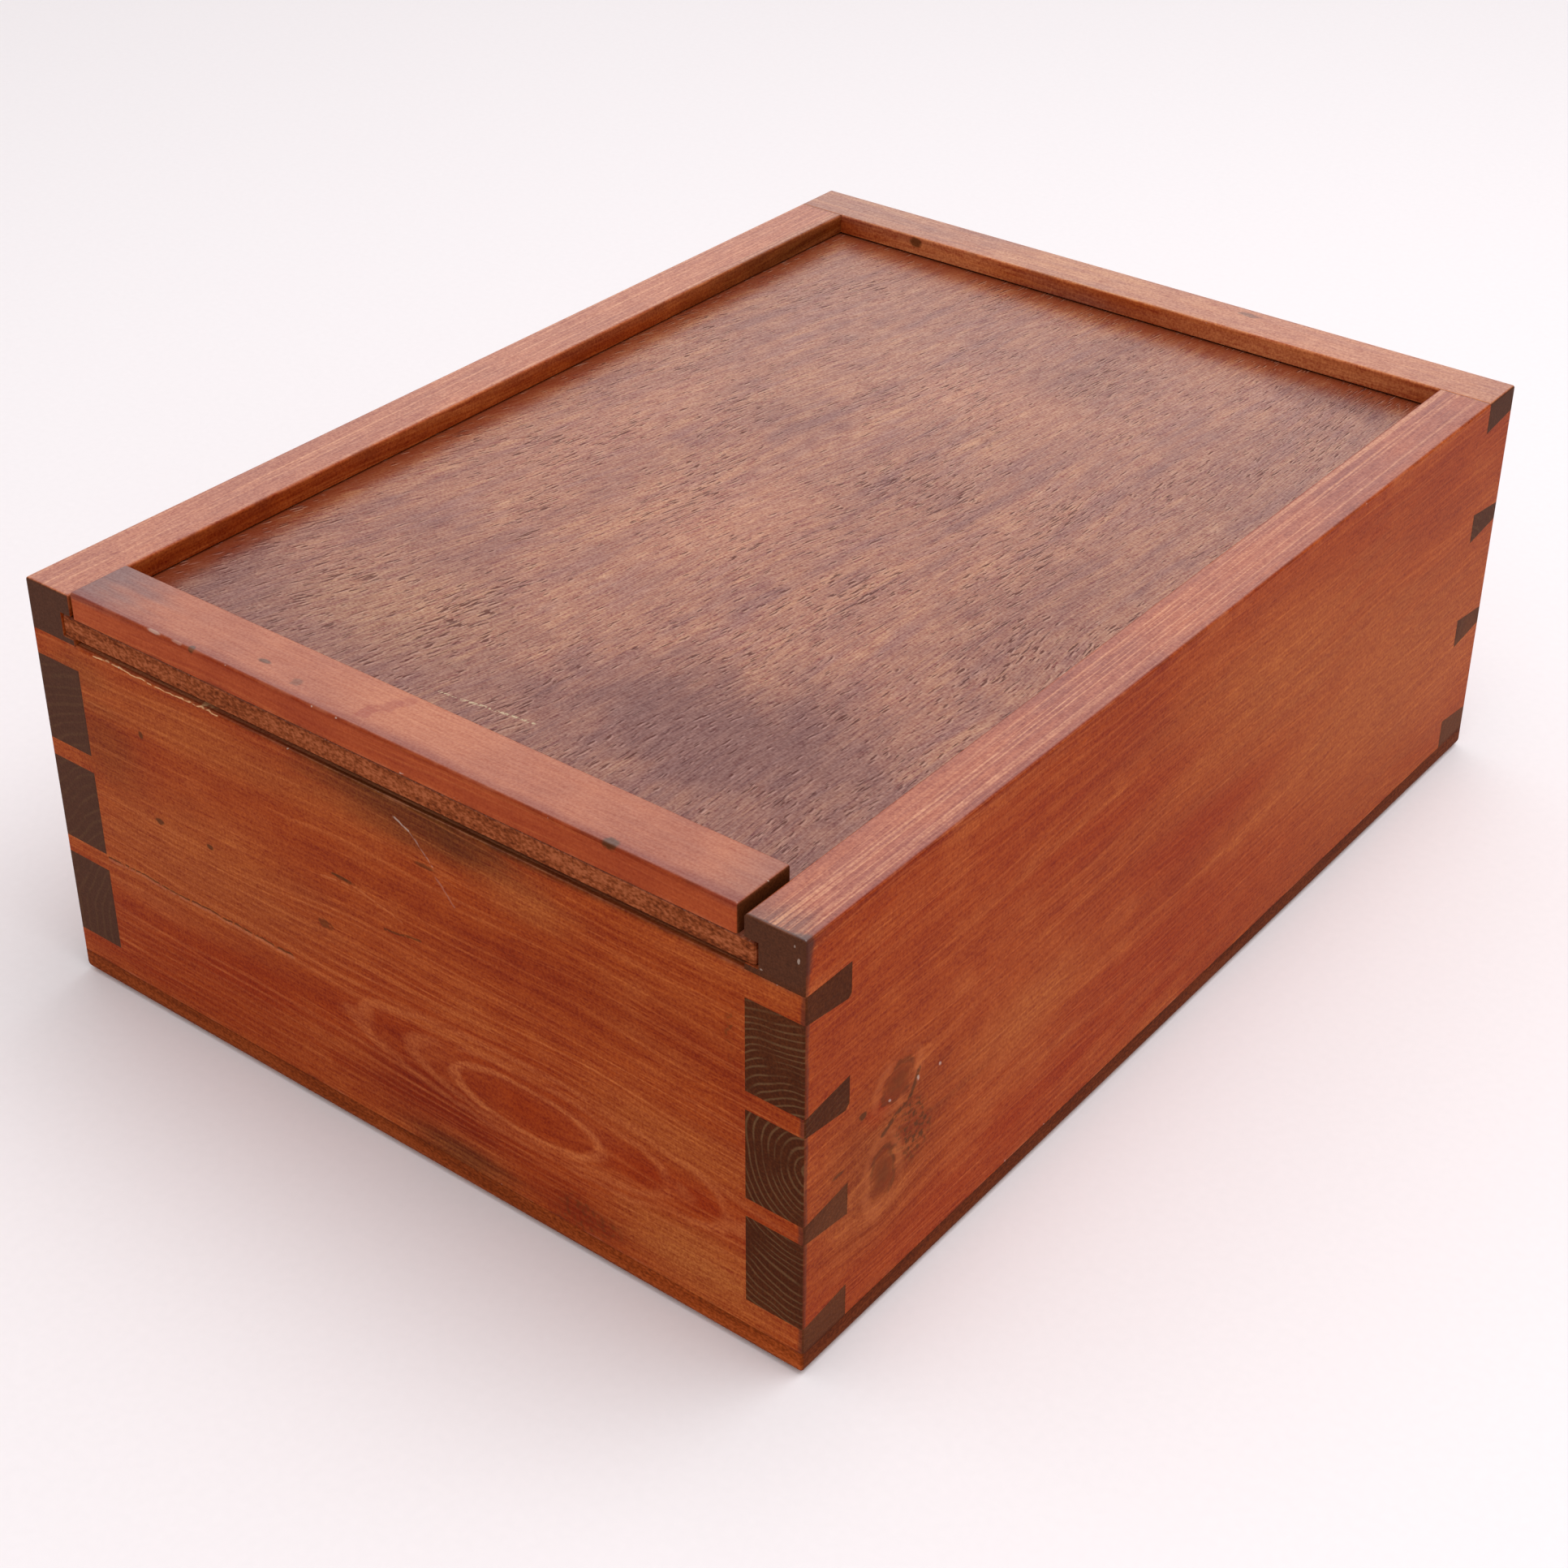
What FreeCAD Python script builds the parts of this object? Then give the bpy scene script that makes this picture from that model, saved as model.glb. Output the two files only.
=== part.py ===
"""Dovetailed tool chest with a sliding lid.

Row frame, millimetres: X across the front, Y from the front to the back, Z up.
The origin is under the middle of the bottom board.  The side boards carry the
tails, the front and back boards carry the pins, and the bottom is planted on
from below.  The lid slides forward in a groove in each side board.
"""

import FreeCAD, Part
import math
import os

import Sketcher

# Overall sizes and the sizes of each piece.
DRIVING_SIZES = {
    "case_width": 297.0,
    "case_length": 406.0,
    "board_height": 140.0,
    "side_thickness": 19.5,
    "end_thickness": 19.5,
    "bottom_thickness": 8.4,
    # Dovetails: a pin's width is taken at its narrow, outer face.
    "pin_count": 2,
    "pin_width": 6.3,
    "half_pin_width": 9.0,
    "dovetail_slope": 8.0,
    # Lid groove, from the top edge of the side boards down.
    "lip_height": 7.1,
    "groove_depth": 4.5,
    "groove_play": 0.7,
    "front_gap": 1.9,
    # Lid.
    "lid_thickness": 7.6,
    "lid_inset": 0.4,
    "lid_back_play": 0.6,
    "lid_side_play": 1.6,
    "lid_shift": 0.5,
    "batten_width": 22.0,
    "batten_height": 9.2,
    "batten_left_gap": 0.7,
    "batten_right_gap": 2.5,
    # Eased edges.
    "arris_radius": 0.9,
    "bottom_round": 3.2,
    "lid_arris": 0.5,
    # Headless wire nails through the bottom board.
    "nail_shank": 2.0,
    "nail_length": 30.0,
    "nail_point": 1.2,
    "nail_sink": 0.4,
    "nail_fit": 0.03,
    "side_nail_count": 4,
    "side_nail_end": 32.0,
    "end_nail_count": 2,
    "end_nail_end": 78.0,
    # Countersunk screws through the lid panel into the batten.
    "screw_shank": 3.0,
    "screw_length": 14.0,
    "screw_head": 6.0,
    "screw_head_height": 2.0,
    "screw_point": 2.5,
    "screw_slot_width": 0.8,
    "screw_slot_depth": 0.9,
    "screw_fit": 0.03,
    "screw_count": 3,
    "screw_end": 22.0,
}

# Places and lengths that follow from the driving sizes.
LAYOUT = {
    "inside_width": "sizes.case_width - 2 * sizes.side_thickness",
    "inside_half": "inside_width / 2",
    "flare": "sizes.end_thickness / sizes.dovetail_slope",
    # Heights on a board, from its lower edge.
    "groove_top": "sizes.board_height - sizes.lip_height",
    "groove_floor": "groove_top - sizes.lid_thickness - sizes.groove_play",
    "front_height": "groove_floor - sizes.front_gap",
    "half_pin_wide": "sizes.half_pin_width + flare",
    "front_tail": "(front_height - 2 * sizes.half_pin_width - sizes.pin_count * sizes.pin_width)"
    " / (sizes.pin_count + 1)",
    "front_pin_low": "sizes.half_pin_width + front_tail",
    "front_pin_high": "front_pin_low + sizes.pin_width",
    "front_pin_pitch": "front_tail + sizes.pin_width",
    "back_tail": "(sizes.board_height - 2 * sizes.half_pin_width - sizes.pin_count * sizes.pin_width)"
    " / (sizes.pin_count + 1)",
    "back_pin_low": "sizes.half_pin_width + back_tail",
    "back_pin_high": "back_pin_low + sizes.pin_width",
    "back_pin_pitch": "back_tail + sizes.pin_width",
    # Lengths on a side board, from its front end.
    "back_shoulder": "sizes.case_length - sizes.end_thickness",
    "groove_end": "back_shoulder + sizes.groove_depth",
    # Lid.
    "groove_span": "inside_width + 2 * sizes.groove_depth",
    "lid_width": "groove_span - sizes.lid_side_play",
    "lid_length": "groove_end - sizes.lid_back_play - sizes.lid_inset",
    "lid_half": "lid_width / 2",
    "batten_length": "inside_width - sizes.batten_left_gap - sizes.batten_right_gap",
    "batten_half": "batten_length / 2",
    "batten_middle": "(sizes.batten_left_gap - sizes.batten_right_gap) / 2",
    "lid_front": "sizes.lid_inset - sizes.case_length / 2",
    "lid_base": "sizes.bottom_thickness + groove_floor",
    # Nails.
    "nail_side": "(sizes.case_width - sizes.side_thickness) / 2",
    "nail_end": "(sizes.case_length - sizes.end_thickness) / 2",
    "side_nail_first": "sizes.side_nail_end - sizes.case_length / 2",
    "side_nail_pitch": "(sizes.case_length - 2 * sizes.side_nail_end) / (sizes.side_nail_count - 1)",
    "end_nail_first": "sizes.end_nail_end - sizes.case_width / 2",
    "end_nail_pitch": "(sizes.case_width - 2 * sizes.end_nail_end) / (sizes.end_nail_count - 1)",
    "nail_top": "sizes.nail_sink + sizes.nail_length",
    "nail_bite": "nail_top - sizes.bottom_thickness + sizes.nail_fit",
    # Screws, in the lid panel's own frame.
    "screw_first": "batten_middle + sizes.lid_shift + sizes.screw_end - batten_half",
    "screw_pitch": "(batten_length - 2 * sizes.screw_end) / (sizes.screw_count - 1)",
    "screw_bite": "sizes.screw_length - sizes.lid_thickness + sizes.screw_fit",
}

# Rows of nails: the first nail's place, the row's axis, pitch and count, and the
# plane that the matching row lies across.
NAIL_ROWS = (
    (
        "side",
        "layout.nail_side",
        "layout.side_nail_first",
        "Y_Axis",
        "layout.side_nail_pitch",
        "sizes.side_nail_count",
        "YZ_Plane",
    ),
    (
        "end",
        "layout.end_nail_first",
        "layout.nail_end",
        "X_Axis",
        "layout.end_nail_pitch",
        "sizes.end_nail_count",
        "XZ_Plane",
    ),
)

doc = FreeCAD.newDocument("tool_chest")
ORIGIN_POINT = (-1, 1)
HORIZONTAL_AXIS = -1
VERTICAL_AXIS = -2
NEAR = 1e-6
ROUGH_RADIUS = 20.0


def fill_sheet(name, values):
    """A spreadsheet with one aliased cell per value."""
    sheet = doc.addObject("Spreadsheet::Sheet", name)
    for row, (alias, value) in enumerate(values.items(), 1):
        sheet.set(f"A{row}", alias)
        sheet.set(f"B{row}", f"={value}" if isinstance(value, str) else str(value))
        sheet.setAlias(f"B{row}", alias)
    doc.recompute()
    return sheet


sizes = fill_sheet("sizes", DRIVING_SIZES)
layout = fill_sheet("layout", LAYOUT)


def size(alias):
    """The number in a sheet's cell."""
    sheet = sizes if alias in DRIVING_SIZES else layout
    return float(sheet.get(alias))


def bind(feature, **expressions):
    """Ties properties of a feature to the sheets."""
    for name, expression in expressions.items():
        feature.setExpression(name.replace("__", "."), expression)


def new_body(label, x="0", y="0", z="0"):
    """An empty body whose placement follows the sheets."""
    body = doc.addObject("PartDesign::Body", label)
    body.Label = label
    bind(body, Placement__Base__x=x, Placement__Base__y=y, Placement__Base__z=z)
    return body


def origin_part(body, role):
    """The body's own origin plane or axis with this role."""
    return next(part for part in body.Origin.OriginFeatures if part.Role == role)


def new_sketch(body, name, plane, offset=None):
    """An empty sketch on one of the body's origin planes, moved along its normal by offset."""
    sketch = body.newObject("Sketcher::SketchObject", name)
    sketch.AttachmentSupport = [(origin_part(body, plane), "")]
    sketch.MapMode = "FlatFace"
    if offset:
        bind(sketch, AttachmentOffset__Base__z=offset)
    return sketch


def pin_point(sketch, geometry, point, x, y):
    """Holds a point at expressions x and y from the sketch's origin."""
    for kind, axis, expression in (
        ("DistanceX", VERTICAL_AXIS, x),
        ("DistanceY", HORIZONTAL_AXIS, y),
    ):
        if expression == "0":
            sketch.addConstraint(Sketcher.Constraint("PointOnObject", geometry, point, axis))
            continue
        held = Sketcher.Constraint(kind, *ORIGIN_POINT, geometry, point, 1.0)
        index = sketch.addConstraint(held)
        name = f"{kind}_{geometry}"
        sketch.renameConstraint(index, name)
        sketch.setExpression(f"Constraints.{name}", expression)


def draw_outline(sketch, *corners):
    """A closed outline through corners given as pairs of expressions."""
    first = sketch.GeometryCount
    count = len(corners)
    rough = [
        FreeCAD.Vector(
            ROUGH_RADIUS * math.cos(math.tau * i / count),
            ROUGH_RADIUS * math.sin(math.tau * i / count),
            0,
        )
        for i in range(count + 1)
    ]
    for start, end in zip(rough, rough[1:]):
        sketch.addGeometry(Part.LineSegment(start, end), False)
    for i in range(count):
        following = first + (i + 1) % count
        sketch.addConstraint(Sketcher.Constraint("Coincident", first + i, 2, following, 1))
    for i, (x, y) in enumerate(corners):
        pin_point(sketch, first + i, 1, x, y)
    return sketch


def draw_circle(sketch, x, y, diameter):
    """A circle whose centre and diameter are expressions."""
    middle = FreeCAD.Vector(0, 0, 0)
    circle = sketch.addGeometry(Part.Circle(middle, FreeCAD.Vector(0, 0, 1), ROUGH_RADIUS), False)
    pin_point(sketch, circle, 3, x, y)
    index = sketch.addConstraint(Sketcher.Constraint("Diameter", circle, ROUGH_RADIUS))
    sketch.renameConstraint(index, "diameter")
    sketch.setExpression("Constraints.diameter", diameter)
    return sketch


def extrude(body, kind, name, sketch, length=None, both_ways=False, reverse=False):
    """A Pad or Pocket.  With no length it goes through everything, both ways."""
    before = body.Shape.Volume if body.Tip else 0.0
    feature = body.newObject(f"PartDesign::{kind}", name)
    feature.Profile = sketch
    feature.Refine = True
    if length is None:
        feature.Type = "ThroughAll"
        feature.SideType = "Symmetric"
    else:
        bind(feature, Length=length)
        feature.SideType = "Symmetric" if both_ways else "One side"
        feature.Reversed = reverse
    doc.recompute()
    grew = body.Shape.Volume - before
    if (grew > NEAR) != (kind == "Pad"):
        raise ValueError(f"{body.Label}: {name} changed the volume by {grew:.3f}")
    return feature


def repeat(body, name, feature, axis, pitch, count):
    """The feature repeated along one of the body's axes."""
    pattern = body.newObject("PartDesign::LinearPattern", name)
    pattern.Originals = [feature]
    pattern.Direction = (origin_part(body, axis), [""])
    pattern.Mode = "Spacing"
    bind(pattern, Offset=pitch, Occurrences=count)
    body.Tip = pattern
    doc.recompute()
    return pattern


def spin(body, kind, name, sketch):
    """A Revolution or Groove of the sketch, a full turn about its vertical axis."""
    feature = body.newObject(f"PartDesign::{kind}", name)
    feature.Profile = sketch
    feature.ReferenceAxis = (sketch, ["V_Axis"])
    feature.Angle = 360
    doc.recompute()
    return feature


def mirror(body, name, features, plane):
    """The features again on the other side of one of the body's planes."""
    mirrored = body.newObject("PartDesign::Mirrored", name)
    mirrored.Originals = features
    mirrored.MirrorPlane = (origin_part(body, plane), [""])
    body.Tip = mirrored
    doc.recompute()
    return mirrored


def on(edge, **planes):
    """True for a straight edge that lies on every plane given, such as x=0."""
    return all(
        abs(getattr(vertex.Point, axis) - place) < NEAR
        for vertex in edge.Vertexes
        for axis, place in planes.items()
    )


def ease_edges(body, name, reach, wanted, kind="Fillet"):
    """A fillet or chamfer on the edges of the body's tip that wanted picks."""
    base = body.Tip
    edges = [f"Edge{i}" for i, edge in enumerate(base.Shape.Edges, 1) if wanted(edge)]
    if not edges:
        raise ValueError(f"{body.Label}: {name} found no edge")
    eased = body.newObject(f"PartDesign::{kind}", name)
    eased.Base = (base, edges)
    eased.setExpression("Radius" if kind == "Fillet" else "Size", reach)
    doc.recompute()
    return eased


def make_side_board(label, hand):
    """Tail board.  Local frame: inner face at X 0, front end at Y 0, lower edge at Z 0.

    hand is 1 for the right board, whose outer face is at +X, and -1 for the left.
    """
    outer = hand * size("side_thickness")
    top = size("board_height")
    back = size("case_length")
    right = hand > 0
    body = new_body(
        label,
        x=f"{hand} * layout.inside_half",
        y="-sizes.case_length / 2",
        z="sizes.bottom_thickness",
    )
    face = draw_outline(
        new_sketch(body, f"{label}_face", "YZ_Plane"),
        ("0", "0"),
        ("sizes.case_length", "0"),
        ("sizes.case_length", "sizes.board_height"),
        ("0", "sizes.board_height"),
    )
    extrude(body, "Pad", f"{label}_blank", face, "sizes.side_thickness", reverse=not right)
    ease_edges(
        body,
        f"{label}_arris",
        "sizes.arris_radius",
        lambda edge: on(edge, x=outer, y=0)
        or on(edge, x=outer, y=back)
        or on(edge, x=outer, z=top)
        or on(edge, x=0, z=top)
        or on(edge, y=0, z=top)
        or on(edge, y=back, z=top),
    )

    # Sockets for the half pins: two at the front end, two at the back end.
    half_sockets = new_sketch(body, f"{label}_half_sockets", "YZ_Plane")
    draw_outline(
        half_sockets,
        ("0", "0"),
        ("sizes.end_thickness", "0"),
        ("sizes.end_thickness", "layout.half_pin_wide"),
        ("0", "sizes.half_pin_width"),
    )
    draw_outline(
        half_sockets,
        ("0", "layout.front_height - sizes.half_pin_width"),
        ("sizes.end_thickness", "layout.front_height - layout.half_pin_wide"),
        ("sizes.end_thickness", "layout.front_height"),
        ("0", "layout.front_height"),
    )
    draw_outline(
        half_sockets,
        ("layout.back_shoulder", "0"),
        ("sizes.case_length", "0"),
        ("sizes.case_length", "sizes.half_pin_width"),
        ("layout.back_shoulder", "layout.half_pin_wide"),
    )
    draw_outline(
        half_sockets,
        ("layout.back_shoulder", "sizes.board_height - layout.half_pin_wide"),
        ("sizes.case_length", "sizes.board_height - sizes.half_pin_width"),
        ("sizes.case_length", "sizes.board_height"),
        ("layout.back_shoulder", "sizes.board_height"),
    )
    extrude(body, "Pocket", f"{label}_half_socket_cut", half_sockets)

    # Sockets for the whole pins, one row at each end.
    for end, near, far in (
        ("front", "0", "sizes.end_thickness"),
        ("back", "sizes.case_length", "layout.back_shoulder"),
    ):
        socket = draw_outline(
            new_sketch(body, f"{label}_{end}_socket", "YZ_Plane"),
            (near, f"layout.{end}_pin_low"),
            (far, f"layout.{end}_pin_low - layout.flare"),
            (far, f"layout.{end}_pin_high + layout.flare"),
            (near, f"layout.{end}_pin_high"),
        )
        cut = extrude(body, "Pocket", f"{label}_{end}_socket_cut", socket)
        pitch = f"layout.{end}_pin_pitch"
        repeat(body, f"{label}_{end}_sockets", cut, "Z_Axis", pitch, "sizes.pin_count")

    # The groove is open at the front and stops inside the back joint.
    groove = draw_outline(
        new_sketch(body, f"{label}_groove", "YZ_Plane"),
        ("0", "layout.groove_floor"),
        ("layout.groove_end", "layout.groove_floor"),
        ("layout.groove_end", "layout.groove_top"),
        ("0", "layout.groove_top"),
    )
    extrude(body, "Pocket", f"{label}_groove_cut", groove, "sizes.groove_depth", reverse=right)

    hole = draw_circle(
        new_sketch(body, f"{label}_nail_hole", "XY_Plane"),
        f"{hand} * sizes.side_thickness / 2",
        "sizes.side_nail_end",
        "sizes.nail_shank + 2 * sizes.nail_fit",
    )
    drilled = extrude(
        body, "Pocket", f"{label}_nail_hole_cut", hole, "layout.nail_bite", reverse=True
    )
    repeat(
        body,
        f"{label}_nail_holes",
        drilled,
        "Y_Axis",
        "layout.side_nail_pitch",
        "sizes.side_nail_count",
    )
    return body


def make_end_board(label, end, height, eased_inside, eased_outside):
    """Pin board.  Local frame: middle at X 0, outer face at Y 0, lower edge at Z 0.

    end names the row of pins in the layout and height is the board's own height.
    The top edges named as eased are rounded between the side boards only.
    """
    inner = size("end_thickness")
    half_width = size("case_width") / 2
    top = size("board_height" if end == "back" else "front_height")
    facing = 1 if end == "back" else -1
    body = new_body(
        label, y=f"{facing} * sizes.case_length / 2", z="sizes.bottom_thickness"
    )
    if end == "back":
        body.Placement.Rotation = FreeCAD.Rotation(FreeCAD.Vector(0, 0, 1), 180)
    section = draw_outline(
        new_sketch(body, f"{label}_section", "YZ_Plane"),
        ("0", "0"),
        ("sizes.end_thickness", "0"),
        ("sizes.end_thickness", height),
        ("0", height),
    )
    extrude(body, "Pad", f"{label}_blank", section, "layout.inside_width", both_ways=True)
    ease_edges(
        body,
        f"{label}_top_arris",
        "sizes.arris_radius",
        lambda edge: (eased_inside and on(edge, y=inner, z=top))
        or (eased_outside and on(edge, y=0, z=top)),
    )

    # Half pins at the lower and upper edge, then the same at the other end.
    half_pins = new_sketch(body, f"{label}_half_pin", "YZ_Plane", offset="layout.inside_half")
    draw_outline(
        half_pins,
        ("0", "0"),
        ("sizes.end_thickness", "0"),
        ("sizes.end_thickness", "layout.half_pin_wide"),
        ("0", "sizes.half_pin_width"),
    )
    draw_outline(
        half_pins,
        ("0", f"{height} - sizes.half_pin_width"),
        ("sizes.end_thickness", f"{height} - layout.half_pin_wide"),
        ("sizes.end_thickness", height),
        ("0", height),
    )
    grown = extrude(body, "Pad", f"{label}_half_pins_one_end", half_pins, "sizes.side_thickness")
    mirror(body, f"{label}_half_pins", [grown], "YZ_Plane")

    # Whole pins run through the board as bars, so both ends come from one pad.
    pin = draw_outline(
        new_sketch(body, f"{label}_pin", "YZ_Plane"),
        ("0", f"layout.{end}_pin_low"),
        ("sizes.end_thickness", f"layout.{end}_pin_low - layout.flare"),
        ("sizes.end_thickness", f"layout.{end}_pin_high + layout.flare"),
        ("0", f"layout.{end}_pin_high"),
    )
    bar = extrude(body, "Pad", f"{label}_pin_bar", pin, "sizes.case_width", both_ways=True)
    repeat(body, f"{label}_pins", bar, "Z_Axis", f"layout.{end}_pin_pitch", "sizes.pin_count")
    ease_edges(
        body,
        f"{label}_end_arris",
        "sizes.arris_radius",
        lambda edge: on(edge, x=half_width, y=0)
        or on(edge, x=-half_width, y=0)
        or (end == "back" and on(edge, y=0, z=top))
        or (end == "back" and on(edge, x=half_width, z=top))
        or (end == "back" and on(edge, x=-half_width, z=top)),
    )

    hole = draw_circle(
        new_sketch(body, f"{label}_nail_hole", "XY_Plane"),
        "layout.end_nail_first",
        "sizes.end_thickness / 2",
        "sizes.nail_shank + 2 * sizes.nail_fit",
    )
    drilled = extrude(
        body, "Pocket", f"{label}_nail_hole_cut", hole, "layout.nail_bite", reverse=True
    )
    repeat(
        body,
        f"{label}_nail_holes",
        drilled,
        "X_Axis",
        "layout.end_nail_pitch",
        "sizes.end_nail_count",
    )
    return body


def make_front_board():
    """The low board that the lid slides over."""
    return make_end_board("front_board", "front", "layout.front_height", True, True)


def make_back_board():
    """The full-height board, grooved for the lid's back edge."""
    body = make_end_board("back_board", "back", "sizes.board_height", True, False)
    groove = draw_outline(
        new_sketch(body, "back_board_groove", "YZ_Plane"),
        ("sizes.end_thickness - sizes.groove_depth", "layout.groove_floor"),
        ("sizes.end_thickness", "layout.groove_floor"),
        ("sizes.end_thickness", "layout.groove_top"),
        ("sizes.end_thickness - sizes.groove_depth", "layout.groove_top"),
    )
    extrude(body, "Pocket", "back_board_groove_cut", groove, "layout.groove_span", both_ways=True)
    return body


def repeat_both_sides(body, name, feature, axis, pitch, count, plane):
    """The feature in a row along an axis, and the same row across the plane."""
    both = body.newObject("PartDesign::MultiTransform", name)
    both.Originals = [feature]
    along = body.newObject("PartDesign::LinearPattern", f"{name}_along")
    along.Direction = (origin_part(body, axis), [""])
    along.Mode = "Spacing"
    bind(along, Offset=pitch, Occurrences=count)
    across = body.newObject("PartDesign::Mirrored", f"{name}_across")
    across.MirrorPlane = (origin_part(body, plane), [""])
    both.Transformations = [along, across]
    body.Tip = both
    doc.recompute()
    return both


def make_bottom_board():
    """Plywood board under all four boards, its lower edges well rounded."""
    half_width = size("case_width") / 2
    half_length = size("case_length") / 2
    body = new_body("bottom_board")
    sheet = draw_outline(
        new_sketch(body, "bottom_outline", "XY_Plane"),
        ("-sizes.case_width / 2", "-sizes.case_length / 2"),
        ("sizes.case_width / 2", "-sizes.case_length / 2"),
        ("sizes.case_width / 2", "sizes.case_length / 2"),
        ("-sizes.case_width / 2", "sizes.case_length / 2"),
    )
    extrude(body, "Pad", "bottom_blank", sheet, "sizes.bottom_thickness")
    ease_edges(
        body,
        "bottom_lower_round",
        "sizes.bottom_round",
        lambda edge: on(edge, z=0),
    )
    ease_edges(
        body,
        "bottom_corner_arris",
        "sizes.arris_radius",
        lambda edge: any(
            on(edge, x=x, y=y)
            for x in (half_width, -half_width)
            for y in (half_length, -half_length)
        ),
    )
    for row, x, y, axis, pitch, count, plane in NAIL_ROWS:
        hole = new_sketch(body, f"bottom_{row}_hole", "XY_Plane")
        draw_circle(hole, x, y, "sizes.nail_shank + 2 * sizes.nail_fit")
        drilled = extrude(body, "Pocket", f"bottom_{row}_hole_cut", hole)
        repeat_both_sides(body, f"bottom_{row}_holes", drilled, axis, pitch, count, plane)
    return body


def make_lid_panel():
    """Plywood lid panel.  Local frame: middle at X 0, front edge at Y 0, underside at Z 0."""
    top = size("lid_thickness")
    half = size("lid_half")
    back = size("lid_length")
    body = new_body("lid_panel", "-sizes.lid_shift", "layout.lid_front", "layout.lid_base")
    sheet = draw_outline(
        new_sketch(body, "lid_outline", "XY_Plane"),
        ("-layout.lid_half", "0"),
        ("layout.lid_half", "0"),
        ("layout.lid_half", "layout.lid_length"),
        ("-layout.lid_half", "layout.lid_length"),
    )
    extrude(body, "Pad", "lid_blank", sheet, "sizes.lid_thickness")
    ease_edges(
        body,
        "lid_arris",
        "sizes.lid_arris",
        lambda edge: on(edge, z=0)
        or on(edge, z=top)
        or on(edge, x=half, y=0)
        or on(edge, x=-half, y=0)
        or on(edge, x=half, y=back)
        or on(edge, x=-half, y=back),
        kind="Chamfer",
    )
    bore = draw_outline(
        screw_sketch(body, "lid_screw_bore"),
        ("0", "0"),
        ("sizes.screw_head / 2 + sizes.screw_fit", "0"),
        ("sizes.screw_shank / 2 + sizes.screw_fit", "sizes.screw_head_height"),
        ("sizes.screw_shank / 2 + sizes.screw_fit", "sizes.lid_thickness"),
        ("0", "sizes.lid_thickness"),
    )
    drilled = spin(body, "Groove", "lid_screw_bore_cut", bore)
    repeat(
        body, "lid_screw_bores", drilled, "X_Axis", "layout.screw_pitch", "sizes.screw_count"
    )
    return body


def make_lid_batten():
    """Batten on the lid's front edge.  Local frame: middle at X 0, front at Y 0, base at Z 0."""
    half = size("batten_half")
    deep = size("batten_width")
    top = size("batten_height")
    body = new_body(
        "lid_batten",
        "layout.batten_middle",
        "layout.lid_front",
        "layout.lid_base + sizes.lid_thickness",
    )
    strip = draw_outline(
        new_sketch(body, "batten_outline", "XY_Plane"),
        ("-layout.batten_half", "0"),
        ("layout.batten_half", "0"),
        ("layout.batten_half", "sizes.batten_width"),
        ("-layout.batten_half", "sizes.batten_width"),
    )
    extrude(body, "Pad", "batten_blank", strip, "sizes.batten_height")
    ease_edges(
        body,
        "batten_arris",
        "sizes.arris_radius",
        lambda edge: on(edge, z=top)
        or any(on(edge, x=x, y=y) for x in (half, -half) for y in (0, deep)),
    )
    pilot = draw_circle(
        new_sketch(body, "batten_pilot", "XY_Plane"),
        "sizes.screw_end - layout.batten_half",
        "sizes.batten_width / 2",
        "sizes.screw_shank + 2 * sizes.screw_fit",
    )
    drilled = extrude(
        body, "Pocket", "batten_pilot_cut", pilot, "layout.screw_bite", reverse=True
    )
    repeat(body, "batten_pilots", drilled, "X_Axis", "layout.screw_pitch", "sizes.screw_count")
    return body


def screw_sketch(body, name):
    """A sketch whose vertical axis is the first screw's own axis."""
    sketch = new_sketch(body, name, "XZ_Plane", offset="-sizes.batten_width / 2")
    bind(sketch, AttachmentOffset__Base__x="layout.screw_first")
    return sketch


def make_batten_screws():
    """Slotted countersunk screws, in the lid panel's own frame."""
    body = new_body("batten_screws", "-sizes.lid_shift", "layout.lid_front", "layout.lid_base")
    body.AllowCompound = True
    profile = draw_outline(
        screw_sketch(body, "screw_profile"),
        ("0", "0"),
        ("sizes.screw_head / 2", "0"),
        ("sizes.screw_shank / 2", "sizes.screw_head_height"),
        ("sizes.screw_shank / 2", "sizes.screw_length - sizes.screw_point"),
        ("0", "sizes.screw_length"),
    )
    shank = spin(body, "Revolution", "screw_turned", profile)
    slot = draw_outline(
        new_sketch(body, "screw_slot", "XY_Plane"),
        (
            "layout.screw_first - sizes.screw_head / 2",
            "(sizes.batten_width - sizes.screw_slot_width) / 2",
        ),
        (
            "layout.screw_first + sizes.screw_head / 2",
            "(sizes.batten_width - sizes.screw_slot_width) / 2",
        ),
        (
            "layout.screw_first + sizes.screw_head / 2",
            "(sizes.batten_width + sizes.screw_slot_width) / 2",
        ),
        (
            "layout.screw_first - sizes.screw_head / 2",
            "(sizes.batten_width + sizes.screw_slot_width) / 2",
        ),
    )
    slotted = extrude(
        body, "Pocket", "screw_slot_cut", slot, "sizes.screw_slot_depth", reverse=True
    )
    row = repeat(
        body, "screw_row", shank, "X_Axis", "layout.screw_pitch", "sizes.screw_count"
    )
    row.Originals = [shank, slotted]
    doc.recompute()
    return body


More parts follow.
